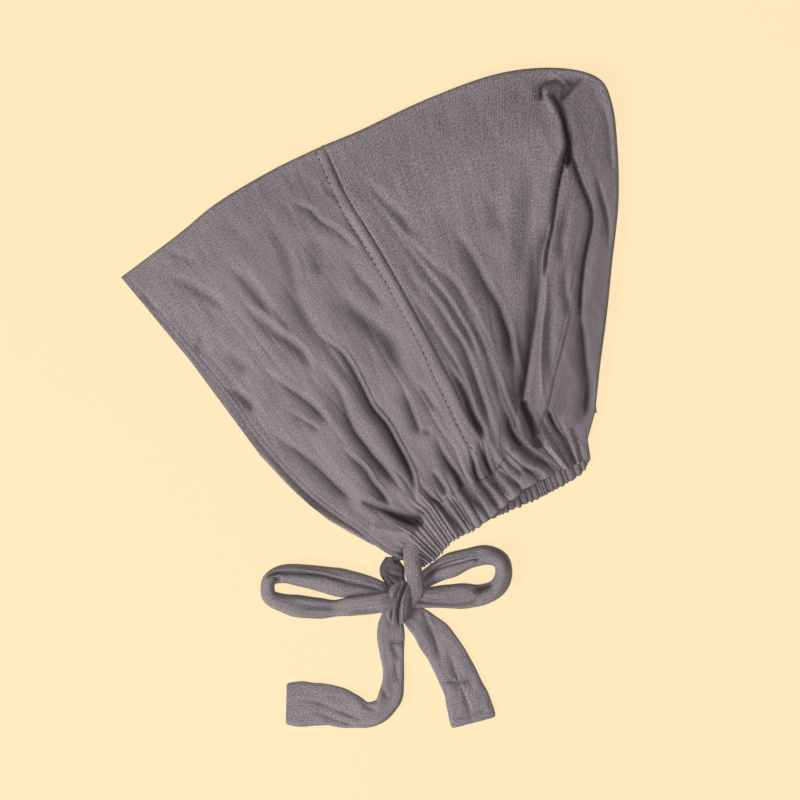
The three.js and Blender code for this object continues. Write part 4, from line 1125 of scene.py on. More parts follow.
@dataclass(frozen=True)
class JerseyFinish:
    """Finish of thin knit jersey in a heathered taupe grey.

    Pitches and the relief are in metres; shade_full is the depth in mm at which the painted shade is full.
    """

    name: str
    colour: tuple[float, float, float] = (0.223, 0.191, 0.202)
    fleck: float = 2.4
    streak: float = 0.6
    cloud: float = 0.25
    wale_pitch: float = 1.15 * MM
    course_pitch: float = 0.8 * MM
    wave: float = 0.0016
    fuzz: float = 0.9
    relief: float = 0.11 * MM
    shade: float = 0.85
    shade_full: float = 7.0
    roughness: float = 0.82
    sheen: float = 0.22
    sheen_roughness: float = 0.45
    specular: float = 0.28

    def build(self, effects: Effects) -> bpy.types.Material:
        """Make the material.

        Args:
            effects: the shared node groups.

        Returns:
            The material.
        """
        material, shader = new_material(self.name)
        tree = material.node_tree
        place = put_node(tree, "ShaderNodeUVMap", {}, uv_map=UV_NAME).outputs[0]
        # The painted shade comes from a point attribute and darkens the heathered colour before the shader
        painted_shade = put_node(
            tree, "ShaderNodeAttribute", {}, attribute_name=PAINTED_SHADE_NAME, attribute_type="GEOMETRY")
        melange = put_node(tree, "ShaderNodeGroup", {
            "Place": place, "Colour": (*self.colour, 1.0), "Fleck": self.fleck, "Streak": self.streak,
            "Cloud": self.cloud}, node_tree=effects.melange.tree)
        shaded = put_node(tree, "ShaderNodeGroup", {
            "Colour": melange.outputs[0], "Painted shade": painted_shade.outputs["Fac"], "Shade": self.shade,
            "Full": self.shade_full}, node_tree=effects.painted_shade.tree)
        knit = put_node(tree, "ShaderNodeGroup", {
            "Place": place, "Wale": math.pi / self.wale_pitch, "Course": 2 * math.pi / self.course_pitch,
            "Wave": self.wave, "Fuzz": self.fuzz}, node_tree=effects.knit.tree)
        bump = put_node(tree, "ShaderNodeBump", {
            "Strength": 1.0, "Distance": self.relief, "Height": knit.outputs[0]})
        tree.links.new(shaded.outputs[0], shader.inputs["Base Color"])
        tree.links.new(bump.outputs[0], shader.inputs["Normal"])
        shader.inputs["Roughness"].default_value = self.roughness
        shader.inputs["Specular IOR Level"].default_value = self.specular
        shader.inputs["Sheen Weight"].default_value = self.sheen
        shader.inputs["Sheen Roughness"].default_value = self.sheen_roughness
        shader.inputs["Sheen Tint"].default_value = (*self.colour, 1.0)
        return material


PANEL_JERSEY = JerseyFinish("panel_jersey")
CASING_JERSEY = JerseyFinish("casing_jersey", shade=0.62, shade_full=4.5)
TIE_JERSEY = JerseyFinish(
    "tie_jersey", colour=(0.214, 0.185, 0.196), shade=0.6, shade_full=3.5, wale_pitch=1.0 * MM)
# Stitches, coloured near black as painted shade of their needle holes
STITCH_HOLE_SHADE = JerseyFinish(
    "stitch_hole_shade", colour=(0.050, 0.042, 0.045), fleck=0.2, streak=0.0, cloud=0.0, relief=0.02 * MM)


@dataclass(frozen=True)
class FloorFinish:
    """Finish of the plain cream surface, lit from within so far that shadows on it stay faint."""

    colour: tuple[float, float, float] = (1.0, 0.798, 0.500)
    matt: float = 0.10
    glow: float = 0.92

    def build(self) -> bpy.types.Material:
        """Make the material.

        Returns:
            The material.
        """
        material, shader = new_material("cream_floor")
        shader.inputs["Base Color"].default_value = (*(self.matt * c for c in self.colour), 1.0)
        shader.inputs["Roughness"].default_value = 1.0
        shader.inputs["Specular IOR Level"].default_value = 0.0
        shader.inputs["Emission Color"].default_value = (*self.colour, 1.0)
        shader.inputs["Emission Strength"].default_value = self.glow
        return material


def settle(piece: bpy.types.Object, slot: str, *nodes: str) -> None:
    """Let a piece ride on the cap's one body and stand for its solids.

    Args:
        piece: the object.
        slot: a material slot's name; not used.
        nodes: the solids that it replaces.
    """
    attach(piece, "root")
    if nodes:
        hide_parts(*nodes)
    LOG.info("%s: %d points, %d faces", piece.name, len(piece.data.vertices), len(piece.data.polygons))


@dataclass(frozen=True)
class Cut:
    """What sets one panel apart from the other.

    near and far are the sides of its two layers: top, bottom, left and right, the first two running to
    the right and the others down. gaps are how far it keeps back from its left, its right and its neck
    line. under is 1 or -1 for the side of the seam on which it passes under the other panel, or 0. folds
    is how many drag folds lie side by side across it. pace says how far across its columns have come at
    some of them, both in thousandths. flat and area are its size laid open, in metres; neither is used.
    """

    name: str
    near: tuple[Curve, Curve, Curve, Curve]
    far: tuple[Curve, Curve, Curve, Curve]
    creases: tuple[Crease, ...]
    gaps: tuple[float, float, float]
    under: float
    folds: float
    pace: Route
    flat: tuple[float, float]
    area: float


@dataclass
class Panels:
    """The two jersey panels that are sewn together over the head, each folded at the crown."""

    plan: Plan
    drape: Drape
    effects: Effects
    columns: int = 272
    rows: int = 292
    round_rows: int = 12
    far_rows: int = 16
    stride: int = 4
    # Painted shade on the panels' inner face: how strong, and the share of the way down where it starts and
    # grows
    inside_painted_shade: float = 4.5 * MM
    inside_start: float = 0.66
    inside_ease: float = 0.14
    calm_start: float = 0.52
    calm_ease: float = 0.2
    round_share: float = 0.03
    fold_turn: float = 1.6
    away: float = 0.99
    seam_gap: float = 0.06 * MM
    overlap: float = 1.2 * MM
    near_points: dict[str, np.ndarray] = field(default_factory=dict)

    def shares(self) -> tuple[np.ndarray, np.ndarray]:
        """Spread the rows of both layers.

        Returns:
            The rows of the near and the far layer, as shares from the crown fold to the neck.
        """
        turn = self.round_share * (1 - np.cos(np.linspace(0, np.pi / 2, self.round_rows + 1)))
        near, far = (
            np.concatenate([turn, np.linspace(self.round_share, 1, count + 1)[1:]])
            for count in (self.rows - self.round_rows, self.far_rows))
        return near, far

    def patch(
        self, sides: tuple[Curve, Curve, Curve, Curve], across: np.ndarray, rows: np.ndarray,
        gaps: tuple[float, float, float],
    ) -> np.ndarray:
        """Fill four curves with a grid of plan points.

        Args:
            sides: top, bottom, left and right.
            across: shares of the way across.
            rows: shares of the way down.
            gaps: how far the grid keeps back from the left, the right and the bottom, in metres.

        Returns:
            The grid, columns first.
        """
        top, bottom, left, right = sides
        span = 0.5 * (top.length + bottom.length)
        low, high = gaps[0] / span, 1 - gaps[1] / span
        u = low + (high - low) * across
        w = rows * (1 - gaps[2] / (0.5 * (left.length + right.length)))
        a, b = top.at(u)[:, None], bottom.at(u)[:, None]
        c, d = left.at(w)[None], right.at(w)[None]
        s, t = u[:, None, None], w[None, :, None]
        corners = (
            (1 - s) * (1 - t) * top.at(0.0) + s * (1 - t) * top.at(1.0)
            + (1 - s) * t * bottom.at(0.0) + s * t * bottom.at(1.0))
        return (1 - t) * a + t * b + (1 - s) * c + s * d - corners

    def lowest(self, height: np.ndarray) -> np.ndarray:
        """Work out the lowest height round each point of a grid.

        Args:
            height: heights of the grid.

        Returns:
            For each point the lowest height within one stride of it.
        """
        for axis in (0, 1):
            shifted = [np.roll(height, k, axis=axis) for k in range(-self.stride, self.stride + 1)]
            height = np.minimum.reduce(shifted)
        return height

    def lining(self, outer: np.ndarray, near_count: int) -> np.ndarray:
        """Make the inner face of a panel, a jersey's thickness in from the outer one.

        Args:
            outer: the outer face's grid.
            near_count: how many of its rows belong to the near layer.

        Returns:
            The inner face's grid, one point for each stride.
        """
        normal = grid_normals(outer)
        edge = nearest(self.drape.fold_line, outer[..., :2])[0]
        upright = np.zeros_like(normal)
        upright[..., 2] = np.where(np.arange(outer.shape[1]) < near_count, 1.0, -1.0)[None]
        turn = smooth(edge / (self.fold_turn * self.drape.fold_reach))[..., None]
        normal = (1 - turn) * normal + turn * upright
        normal /= np.linalg.norm(normal, axis=-1, keepdims=True)
        inner = outer - self.drape.jersey * normal
        calm = np.minimum(turn[..., 0], upright[..., 2].clip(0)) > self.away
        inner[..., 2] = np.where(calm, self.lowest(inner[..., 2]), inner[..., 2])
        return inner[::self.stride, ::self.stride]

    def make(self, cut: Cut) -> Cloth:
        """Make one panel from its near neck line over the crown fold to its far one.

        Args:
            cut: the panel's cut.

        Returns:
            The cloth.
        """
        near_rows, far_rows = self.shares()
        steps = np.array(cut.pace) * THOUSANDTH
        reach = np.interp(np.linspace(0, 1, self.columns + 1), steps[:, 0], steps[:, 1])
        top = self.patch(cut.near, reach, near_rows[::-1], cut.gaps)
        low = self.patch(cut.far, reach, far_rows[1:], cut.gaps)
        across, down = np.meshgrid(reach, near_rows[::-1], indexing="ij")
        pull = 1 - smooth((across - self.calm_start) / self.calm_ease) * abs(cut.under)
        strands = np.stack([cut.folds * across, down, pull], axis=-1)
        height, painted_shade = self.drape.near(top, CreaseField(self.plan, cut.creases), strands, cut.under)
        height[:, -1] = self.drape.fold_height
        outer = np.concatenate([lifted(top, height), lifted(low, self.drape.far(low))], axis=1)
        painted_shade = np.concatenate([painted_shade, np.zeros(low.shape[:2])], axis=1)
        inner = self.lining(outer, top.shape[1])
        self.near_points[cut.name] = outer[:, :top.shape[1]].reshape(-1, 3)
        # Painted shade on the inner face towards the neck, which darkens the far layer where it shows past
        # the near edge
        fallen = (inner[..., 1] - self.plan.origin[1]) / self.plan.size[1]
        inside = self.inside_painted_shade * smooth((fallen - self.inside_start) / self.inside_ease)
        return Cloth().shell(outer, inner, painted_shade, inside, self.stride)

    def build(self) -> None:
        """Build and dress both panels."""
        plan, back = self.plan, -self.overlap
        material = PANEL_JERSEY.build(self.effects)
        seam, far_seam = plan.curve(SEAM), plan.curve((*SEAM[:-1], FAR_LINE_BACK[0]))
        front_fold, back_fold = plan.curve(CROWN_FOLD_FRONT), plan.curve(CROWN_FOLD_BACK)
        nape = plan.curve(NAPE_SIDE)
        cuts = (
            Cut("front_panel",
                (front_fold, plan.curve(GATHER_LINE_FRONT), plan.curve(FACE_EDGE_NEAR), seam),
                (front_fold, plan.curve(FAR_LINE_FRONT), plan.curve(FACE_EDGE_FAR), far_seam),
                FRONT_CREASES + NECK_CREASES, gaps=(0.0, self.seam_gap, back), under=0.0, folds=8.0,
                pace=((0, 0), (1000, 1000)), flat=(0.20, 0.46), area=0.062),
            Cut("crown_panel",
                (back_fold, plan.curve(GATHER_LINE_BACK), seam, nape),
                (back_fold, plan.curve(FAR_LINE_BACK), far_seam, nape),
                CROWN_CREASES + NECK_CREASES, gaps=(back, 0.0, back), under=1.0, folds=12.0,
                pace=((0, 0), (260, 350), (900, 850), (1000, 1000)), flat=(0.26, 0.46), area=0.080),
        )
        for cut in cuts:
            piece = self.make(cut).build(f"{cut.name}_jersey", material)
            settle(piece, "jersey", cut.name)


@dataclass
class NeckCasing:
    """The gathered band round the neck: its near half, the fold at the nape and its far half.

    Eases and starts without a unit are shares of the gather line or, down the band, of its depth.
    """

    plan: Plan
    drape: Drape
    effects: Effects
    near_columns: int = 520
    far_columns: int = 240
    rows: int = 36
    wall: float = 2.6 * MM
    least_wall: float = 0.9 * MM
    nape_reach: float = 6 * MM
    nape_inside: float = 0.4
    nape_turn: float = 0.9
    nape_ease: float = 0.06
    front_ease: float = 0.02
    front_start: float = 0.3
    seam_gap: float = 0.05 * MM
    hem_round: float = 1.3 * MM
    hem_share: float = 0.45
    mean_share: float = 0.6
    near_ripple: float = 0.6
    far_ripple: float = 0.9
    # Painted shadow over the far half, which lies under the near one
    far_shade: float = 1.9 * MM
    bulge: float = 1.0 * MM
    row_dip: float = 0.3 * MM
    row_reach: float = 0.05
    wobble: float = 0.25 * MM
    wobble_cell: float = 2.5 * MM
    wobble_seed: int = 31
    # Painted shade in the valleys between the gathers and in the pressed creases
    valley_share: float = 1.1
    valley_shade: float = 2.3
    valley_ease: float = 0.5
    pressed_shade: float = 0.85
    lean: Route = ((0, 0), (200, -50), (460, 0), (700, 120), (870, 50), (1000, 0))
    stray: float = 0.016
    stray_cell: float = 6 * MM
    stray_seed: int = 35
    near_points: np.ndarray = field(init=False)

    def nape(self, points: np.ndarray) -> np.ndarray:
        """Return how far points lie in from the back fold, in its reaches."""
        return nearest(self.drape.nape_line, points)[0] / self.nape_reach

    def inside(self, points: np.ndarray) -> np.ndarray:
        """Return the same for the inner face, which opens later."""
        return np.maximum(self.nape(points) - self.nape_inside, 0) / (1 - self.nape_inside)

    def leaning(self, shares: np.ndarray) -> np.ndarray:
        """Work out how far the gathers lean along the hem.

        Args:
            shares: shares of the gather line.

        Returns:
            The lean at each of them, as a share of the hem.
        """
        table = np.array(self.lean) * THOUSANDTH
        spots = np.stack([shares * self.drape.gathers.line.length, 0 * shares], axis=1)
        stray = self.stray * noise(spots, self.stray_cell, self.stray_seed) * np.sin(np.pi * shares)
        return np.interp(shares, table[:, 0], table[:, 1]) + stray

    def band(
        self, top: Curve, hem: Curve, shares: np.ndarray, ripple: np.ndarray, lean: np.ndarray
    ) -> np.ndarray:
        """Make the plan points of one half, columns along it and rows from the hem up.

        Args:
            top: the gather line.
            hem: the hem.
            shares: where the columns lie.
            ripple: how far each column's hem stands out, in metres.
            lean: how far the gathers lean along the hem, as shares of it.

        Returns:
            The grid of plan points.
        """
        a, b = top.at(shares), hem.at(shares + lean)
        run = b - a
        length = np.linalg.norm(run, axis=1, keepdims=True)
        start, end = self.seam_gap / length, 1 + ripple[:, None] / length
        down = np.linspace(1, 0, self.rows + 1)[None, :, None]
        return a[:, None] + run[:, None] * (start[:, None] + (end - start)[:, None] * down)

    def hem_drop(self, points: np.ndarray) -> np.ndarray:
        """Work out how far a half's faces draw together towards the hem.

        Args:
            points: the half's grid of plan points.

        Returns:
            The drop at each point, in metres.
        """
        depth = np.linalg.norm(points[:, 0] - points[:, -1], axis=1)[:, None]
        edge = (1 - np.linspace(1, 0, self.rows + 1)) * depth
        return 0.5 * self.wall * (1 - arc(edge / self.hem_round))

    def near_half(self, middle: float) -> tuple[np.ndarray, np.ndarray, np.ndarray]:
        """Make the half that lies on top.

        Args:
            middle: height of the fold at the nape.

        Returns:
            The outer face, the inner face and the painted shade, as depths in metres.
        """
        plan, drape = self.plan, self.drape
        u = np.linspace(0, 1, self.near_columns + 1)
        down = np.linspace(1, 0, self.rows + 1)
        puff = drape.gathers.puff(u)
        mean = self.mean_share * drape.gathers.rises.mean()
        closed = smooth((1 - u) / self.nape_ease) * smooth(u / self.front_ease + self.front_start)
        line, hem = plan.curve(GATHER_LINE_FRONT, GATHER_LINE_BACK), plan.curve(HEM_NEAR)
        near = self.band(line, hem, u, (puff - mean) * self.near_ripple * closed, self.leaning(u))
        creases = CreaseField(plan, FRONT_CREASES + CROWN_CREASES + NECK_CREASES)
        draped, pressed = drape.near(
            near, creases, band_shares=np.broadcast_to(u[:, None], near.shape[:2]))
        row = -self.row_dip * bell(down, self.row_reach)
        wobble = self.wobble * noise(near, self.wobble_cell, self.wobble_seed)
        bulge = self.bulge * np.sin(np.pi * smooth(down))
        top = middle + (draped + row + wobble + bulge - middle) * arc(self.nape(near))
        # Painted shade: the valleys between the puffs and the pressed creases darken the colour
        valley = np.maximum(self.valley_share * mean - puff[:, None], 0)
        painted_shade = valley * self.valley_shade * smooth(down / self.valley_ease)
        lining = near.copy()
        lining[..., 0] -= self.wall * smooth((u - self.nape_turn) / (1 - self.nape_turn))[:, None]
        inside = arc(self.inside(near))
        level = middle + (drape.plain(near) - middle - self.wall) * inside
        level = np.minimum(level, top - self.least_wall * inside)
        drop = np.minimum(self.hem_drop(near), self.hem_share * (top - level))
        return (
            lifted(near, top - drop), lifted(lining, level + drop), painted_shade + self.pressed_shade * pressed)

    def far_half(self, middle: float) -> tuple[np.ndarray, np.ndarray, np.ndarray]:
        """Make the half that lies on the surface.

        Args:
            middle: height of the fold at the nape.

        Returns:
            The outer face, the inner face and the painted shadow under the near half, as depths in metres.
        """
        v = np.linspace(1, 0, self.far_columns + 1)[1:]
        line, hem = self.plan.curve(FAR_LINE_FRONT, FAR_LINE_BACK), self.plan.curve(HEM_FAR)
        ribs = Gathers(
            line, pitch_front=2.4 * MM, pitch_back=3.8 * MM, rise_front=0.7 * MM, rise_back=1.4 * MM,
            spread=0.6, seed=33)
        rib = ribs.puff(v) - self.mean_share * ribs.rises.mean()
        far = self.band(line, hem, v, rib * self.far_ripple * smooth((1 - v) / self.nape_ease), 0 * v)
        opening = arc(self.nape(far))
        bottom = middle * (1 - opening)
        level = self.wall + (middle - self.wall) * (1 - arc(self.inside(far)))
        level = level + rib[:, None] * opening
        drop = self.hem_drop(far)
        # Painted shadow: the whole far half is darkened, more in its rib valleys
        shadow = np.broadcast_to(self.far_shade + np.maximum(-rib, 0)[:, None], far.shape[:2])
        return lifted(far, bottom + drop), lifted(far, level - drop), shadow

    def build(self) -> None:
        """Build and dress the casing."""
        middle = 0.5 * self.drape.nape_loft
        near, far = self.near_half(middle), self.far_half(middle)
        outer, inner, painted_shade = (np.concatenate(pair) for pair in zip(near, far))
        self.near_points = near[0].reshape(-1, 3)
        piece = Cloth().shell(outer, inner, painted_shade, painted_shade).build(
            "neck_casing_jersey", CASING_JERSEY.build(self.effects))
        settle(piece, "casing_jersey", "neck_casing")


class Section(Enum):
    """How a strap of the bow is shaped across its path."""

    ARCH = "arched over its feet"
    FLAT = "flat, its edges round and folded"
    ROLLED = "bunched up, round above and pleated below"


@dataclass
class Bow:
    """The two ties: rolled stems from the casing, the knot, two loops and two hanging ends."""

    plan: Plan
    drape: Drape
    effects: Effects
    span: float = 155 * MM
    tie_width: float = 28 * MM
    tie_wall: float = 2.4 * MM
    least_rise: float = 0.2 * MM
    inside_least: float = 0.2
    stem_width: float = 10 * MM
    stem_height: float = 5.6 * MM
    loop_height: float = 9 * MM
    loop_roundness: float = 0.5
    flat_crowding: float = 1.6
    flat_edge: float = 7
    flat_foot: float = 0.2
    flat_sag: float = 0.07
    flat_sag_reach: float = 0.3
    flat_sole: float = 0.96
    crease_strength: float = 1.7
    knot_length: float = 29.5 * MM
    knot_width: float = 17.5 * MM
    knot_height: float = 14 * MM
    knot_turn: float = 0.20
    knot_tip: float = 0.02
    knot_bump: float = 0.4 * MM
    knot_seed: int = 51
    knot_flat: float = 0.030
    knot_rings: int = 72
    knot_sides: int = 96
    # Painted shadow on the straps round the knot: its depth, and where and how fast it fades, in the knot's
    # radii
    knot_shade: float = 1.8 * MM
    knot_shade_start: float = 0.9
    knot_shade_reach: float = 0.45
    rough: float = 0.35 * MM
    rough_cell: float = 4 * MM
    fine: float = 0.14 * MM
    fine_cell: float = 1.6 * MM
    crease_room: float = 0.8
    least_room: float = 0.4 * MM
    ground: float = 0.05 * MM
    waver: float = 0.07
    waver_cell: float = 9 * MM
    corner: float = 0.10
    corner_reach: float = 3.0 * MM
    far_crumple: float = 3.0 * MM
    crumple_share: float = 0.6
    crumple_sharp: float = 1.4
    # Share of the crumple that is painted as shade over the whole crumpled strap
    crumple_shade: float = 0.8
    pleats: int = 26
    pleat_share: float = 0.7
    steps: int = 300
    across: int = 52
    under: int = 16

    def __post_init__(self) -> None:
        """Find the middle of the knot and the creases."""
        self.middle = self.plan.place([KNOT_MIDDLE])[0]
        self.creases = CreaseField(self.plan, BOW_CREASES, strength=self.crease_strength)

    def stations(self, table: Stations) -> tuple[np.ndarray, np.ndarray]:
        """Turn a loop's or an end's table into points and sizes.

        Args:
            table: the stations.

        Returns:
            Points of the path, and width and rise at each of them.
        """
        rows = np.array(table)
        plan = self.middle + rows[:, :2] * np.array([1, -1]) * self.span
        points = lifted(plan, rows[:, 2] * self.loop_height)
        return points, rows[:, 3:] * np.array([self.tie_width, self.loop_height])

    def stem_stations(
        self, table: Stations, start: np.ndarray, end: np.ndarray
    ) -> tuple[np.ndarray, np.ndarray]:
        """Turn a stem's table into points and sizes.

        Args:
            table: the stations.
            start: where the stem leaves the casing.
            end: where it ends in the knot.

        Returns:
            Points of the path, and width and height at each of them.
        """
        rows = np.array(table)
        line = end - start
        side = np.array([-line[1], line[0]])
        plan = start + rows[:, :1] * line + rows[:, 1:2] * side
        points = lifted(plan, rows[:, 2] * self.drape.neck_loft)
        return points, rows[:, 3:] * np.array([self.stem_width, self.stem_height])

    def refine(self, points: np.ndarray, sizes: np.ndarray) -> tuple[np.ndarray, np.ndarray, np.ndarray]:
        """Make many stations of a few.

        Args:
            points: points of the path.
            sizes: width and rise at each of them.

        Returns:
            Points, sizes and headings in plan.
        """
        dense = Curve(np.column_stack([points, sizes * 0.25])).chain(self.steps + 1)
        path, size = dense[:, :3], dense[:, 3:] * 4
        heading = np.gradient(path[:, :2], axis=0)
        heading /= np.linalg.norm(heading, axis=1, keepdims=True)
        return path, size, heading

    def arch(self, width: float, height: float) -> np.ndarray:
        """Make the section of a strap that arches over its feet.

        Args:
            width: width of the section.
            height: its height.

        Returns:
            Its points, across and up, one a row.
        """
        turn = np.pi * (1 - np.linspace(0, 1, self.across + 1))
        rise = np.sin(turn).clip(0) ** self.loop_roundness
        top = np.column_stack([0.5 * width * np.cos(turn), height * rise])
        turn = np.pi * np.linspace(0, 1, self.under + 1)
        half = max(0.5 * width - self.tie_wall, self.inside_least * width)
        rise = max(height - self.tie_wall, self.least_rise)
        return np.vstack([top, np.column_stack([half * np.cos(turn), rise * np.sin(turn)])])

    def flat(self, width: float, height: float) -> np.ndarray:
        """Make the section of a strap that lies flat, its edges round and folded.

        Args:
            width: width of the section.
            height: its height.

        Returns:
            Its points, across and up, one a row.
        """
        x = np.linspace(-1, 1, self.across + 1)
        x = np.sign(x) * (1 - (1 - np.abs(x)) ** self.flat_crowding)
        sag = self.flat_sag * bell(x, self.flat_sag_reach)
        rise = (1 - np.abs(x) ** self.flat_edge).clip(0) ** 0.5 * (1 - sag)
        top = np.column_stack([
            0.5 * width * x, height * (self.flat_foot + (1 - self.flat_foot) * rise)])
        sole = 0.5 * width * self.flat_sole * np.linspace(1, -1, self.under + 1)
        return np.vstack([top, np.column_stack([sole, np.zeros(self.under + 1)])])

    def rolled(self, width: float, height: float) -> np.ndarray:
        """Make the section of a tie bunched up into a stem, round above and pleated below.

        Args:
            width: width of the section.
            height: its height.

        Returns:
            Its points, across and up, one a row.
        """
        turn = np.pi * (1 - 2 * np.linspace(0, 1, 3 * (self.across + self.under), endpoint=False))
        pleat = np.abs(np.sin(0.5 * self.pleats * turn)) * smooth(-3 * np.sin(turn) - 0.9)
        deep = 1 - self.pleat_share * pleat
        return np.column_stack([
            0.5 * width * deep * np.cos(turn), 0.5 * height * (1 + deep * np.sin(turn))])

    def sweep(
        self, points: np.ndarray, sizes: np.ndarray, section: Section, seed: int
    ) -> tuple[np.ndarray, np.ndarray, np.ndarray]:
        """Sweep a section along a path.

        Args:
            points: points of the path.
            sizes: width and rise at each of them.
            section: the shape across the path.
            seed: number that picks the waver of the strap's width.

        Returns:
            The rings of points, how far along the path each ring lies, and each ring's rise.
        """
        path, size, heading = self.refine(points, sizes)
        run = np.concatenate([[0], np.cumsum(np.linalg.norm(np.diff(path, axis=0), axis=1))])
        size[:, 0] *= 1 + self.waver * noise(np.stack([run, 0 * run], axis=1), self.waver_cell, seed)
        if section is Section.FLAT:
            size[:, 0] *= 1 - self.corner * (1 - arc((run[-1] - run) / self.corner_reach))
        cut = {Section.ARCH: self.arch, Section.FLAT: self.flat, Section.ROLLED: self.rolled}[section]
        rings = []
        for at, (width, height), way in zip(path, size, heading):
            ring = cut(width, height)
            side = np.array([way[1], -way[0], 0.0])
            rings.append(at + ring[:, :1] * side + ring[:, 1:] * np.array([0.0, 0.0, 1.0]))
        return np.array(rings), run, size[:, 1:]

    def strap(
        self, points: np.ndarray, sizes: np.ndarray, section: Section, seed: int, crumple: float
    ) -> Cloth:
        """Make a strap and press the creases into it.

        Args:
            points: points of the path.
            sizes: width and rise at each of them.
            section: the shape across the path.
            seed: number that picks the strap's own unevenness.
            crumple: how deep the strap is crumpled.

        Returns:
            The cloth.
        """
        grid, run, rises = self.sweep(points, sizes, section, seed + 2)
        normal = grid_normals(np.concatenate([grid, grid[:, :1]], axis=1))[:, :-1]
        if np.sum(normal * (grid - grid.mean(axis=1, keepdims=True))) < 0:
            normal = -normal
        girth = np.linalg.norm(np.diff(grid, axis=1), axis=-1).mean(axis=0)
        around = np.concatenate([[0], np.cumsum(girth)])
        places = np.stack(np.broadcast_arrays(around[None, :], run[:, None]), axis=-1)
        rough = noise(places * np.array([1.0, 0.5]), self.rough_cell, seed)
        fine = noise(places * np.array([1.0, 0.25]), self.fine_cell, seed + 1)
        up = smooth(normal[..., 2] * 1.6)
        grid = grid + normal * ((self.rough * rough + self.fine * fine) * up)[..., None]
        dent = crumple * np.maximum(self.crumple_share - np.abs(rough) * self.crumple_sharp, 0)
        grid = grid - normal * (dent * up)[..., None]
        furrow, ridge = self.creases.press(grid[..., :2])
        limit = np.maximum(rises * self.crease_room, self.least_room)
        furrow = limit * np.tanh(furrow / limit) * up
        grid[..., 2] = np.maximum(grid[..., 2] + (ridge * up - furrow), self.ground)
        # Painted shade: the creases, the dents and the crumple, and a painted shadow round the knot, darken
        # the colour
        radii = np.array([0.5 * self.knot_width, 0.5 * self.knot_length])
        apart = np.linalg.norm((grid[..., :2] - self.middle) / radii, axis=-1)
        shadow = self.knot_shade * bell(
            np.maximum(apart - self.knot_shade_start, 0), self.knot_shade_reach)
        return Cloth().tube(grid, places, furrow + dent + self.crumple_shade * crumple + shadow)

    def knot(self) -> Cloth:
        """Make the knot: an egg of cloth with the creases between its bands.

        Returns:
            The cloth.
        """
        lat = np.linspace(self.knot_tip, np.pi - self.knot_tip, self.knot_rings)[:, None]
        lon = np.linspace(0, 2 * np.pi, self.knot_sides, endpoint=False)[None, :]
        ball = np.stack(np.broadcast_arrays(
            np.sin(lat) * np.cos(lon), -np.cos(lat) + 0 * lon, np.sin(lat) * np.sin(lon)), axis=-1)
        radii = 0.5 * np.array([self.knot_width, self.knot_length, self.knot_height])
        turned = ball * radii
        c, s = math.cos(-self.knot_turn), math.sin(-self.knot_turn)
        grid = np.empty_like(turned)
        grid[..., 0] = c * turned[..., 0] - s * turned[..., 1] + self.middle[0]
        grid[..., 1] = s * turned[..., 0] + c * turned[..., 1] + self.middle[1]
        grid[..., 2] = turned[..., 2] + radii[2]
        up = smooth(ball[..., 2] + 0.35)
        furrow, ridge = CreaseField(self.plan, KNOT_CREASES).press(grid[..., :2])
        furrow = furrow * up
        places = np.stack(np.broadcast_arrays(lon * radii[0], lat * radii[1]), axis=-1)
        bumpy = self.knot_bump * noise(grid[..., :2], self.rough_cell, self.knot_seed) * up
        grid = grid + ball * (ridge * up - furrow + bumpy)[..., None]
        # The depth of the knot's creases is painted as shade
        return Cloth().tube(grid, places, furrow)

    def build(self) -> None:
        """Build and dress the ties."""
        material = TIE_JERSEY.build(self.effects)
        near_start, far_start = self.plan.place([STEM_NEAR_START, STEM_FAR_START])
        far_end = self.middle + np.array(STEM_FAR_AIM) * np.array([1, -1]) * self.span
        near_stem = self.stem_stations(STEM_NEAR, near_start, self.middle)
        far_stem = self.stem_stations(STEM_FAR, far_start, far_end)
        straps = (
            ("bow_loop_left", self.stations(LOOP_LEFT), Section.ARCH, 61, 0.0),
            ("bow_loop_right", self.stations(LOOP_RIGHT), Section.ARCH, 63, 0.0),
            ("tie_end_left", self.stations(END_LEFT), Section.FLAT, 65, 0.0),
            ("tie_end_right", self.stations(END_RIGHT), Section.FLAT, 67, 0.0),
            ("tie_near_stem", near_stem, Section.ROLLED, 69, 0.0),
            ("tie_far_stem", far_stem, Section.ROLLED, 71, self.far_crumple),
        )
        cloths = {
            node: (self.strap(*stations, section, seed, crumple), Curve(stations[0]).length)
            for node, stations, section, seed, crumple in straps}
        cloths["bow_knot"] = (self.knot(), self.knot_flat)
        for node, (cloth, length) in cloths.items():
            piece = cloth.build(f"{node}_jersey", material)
            settle(piece, "tie_jersey", node)


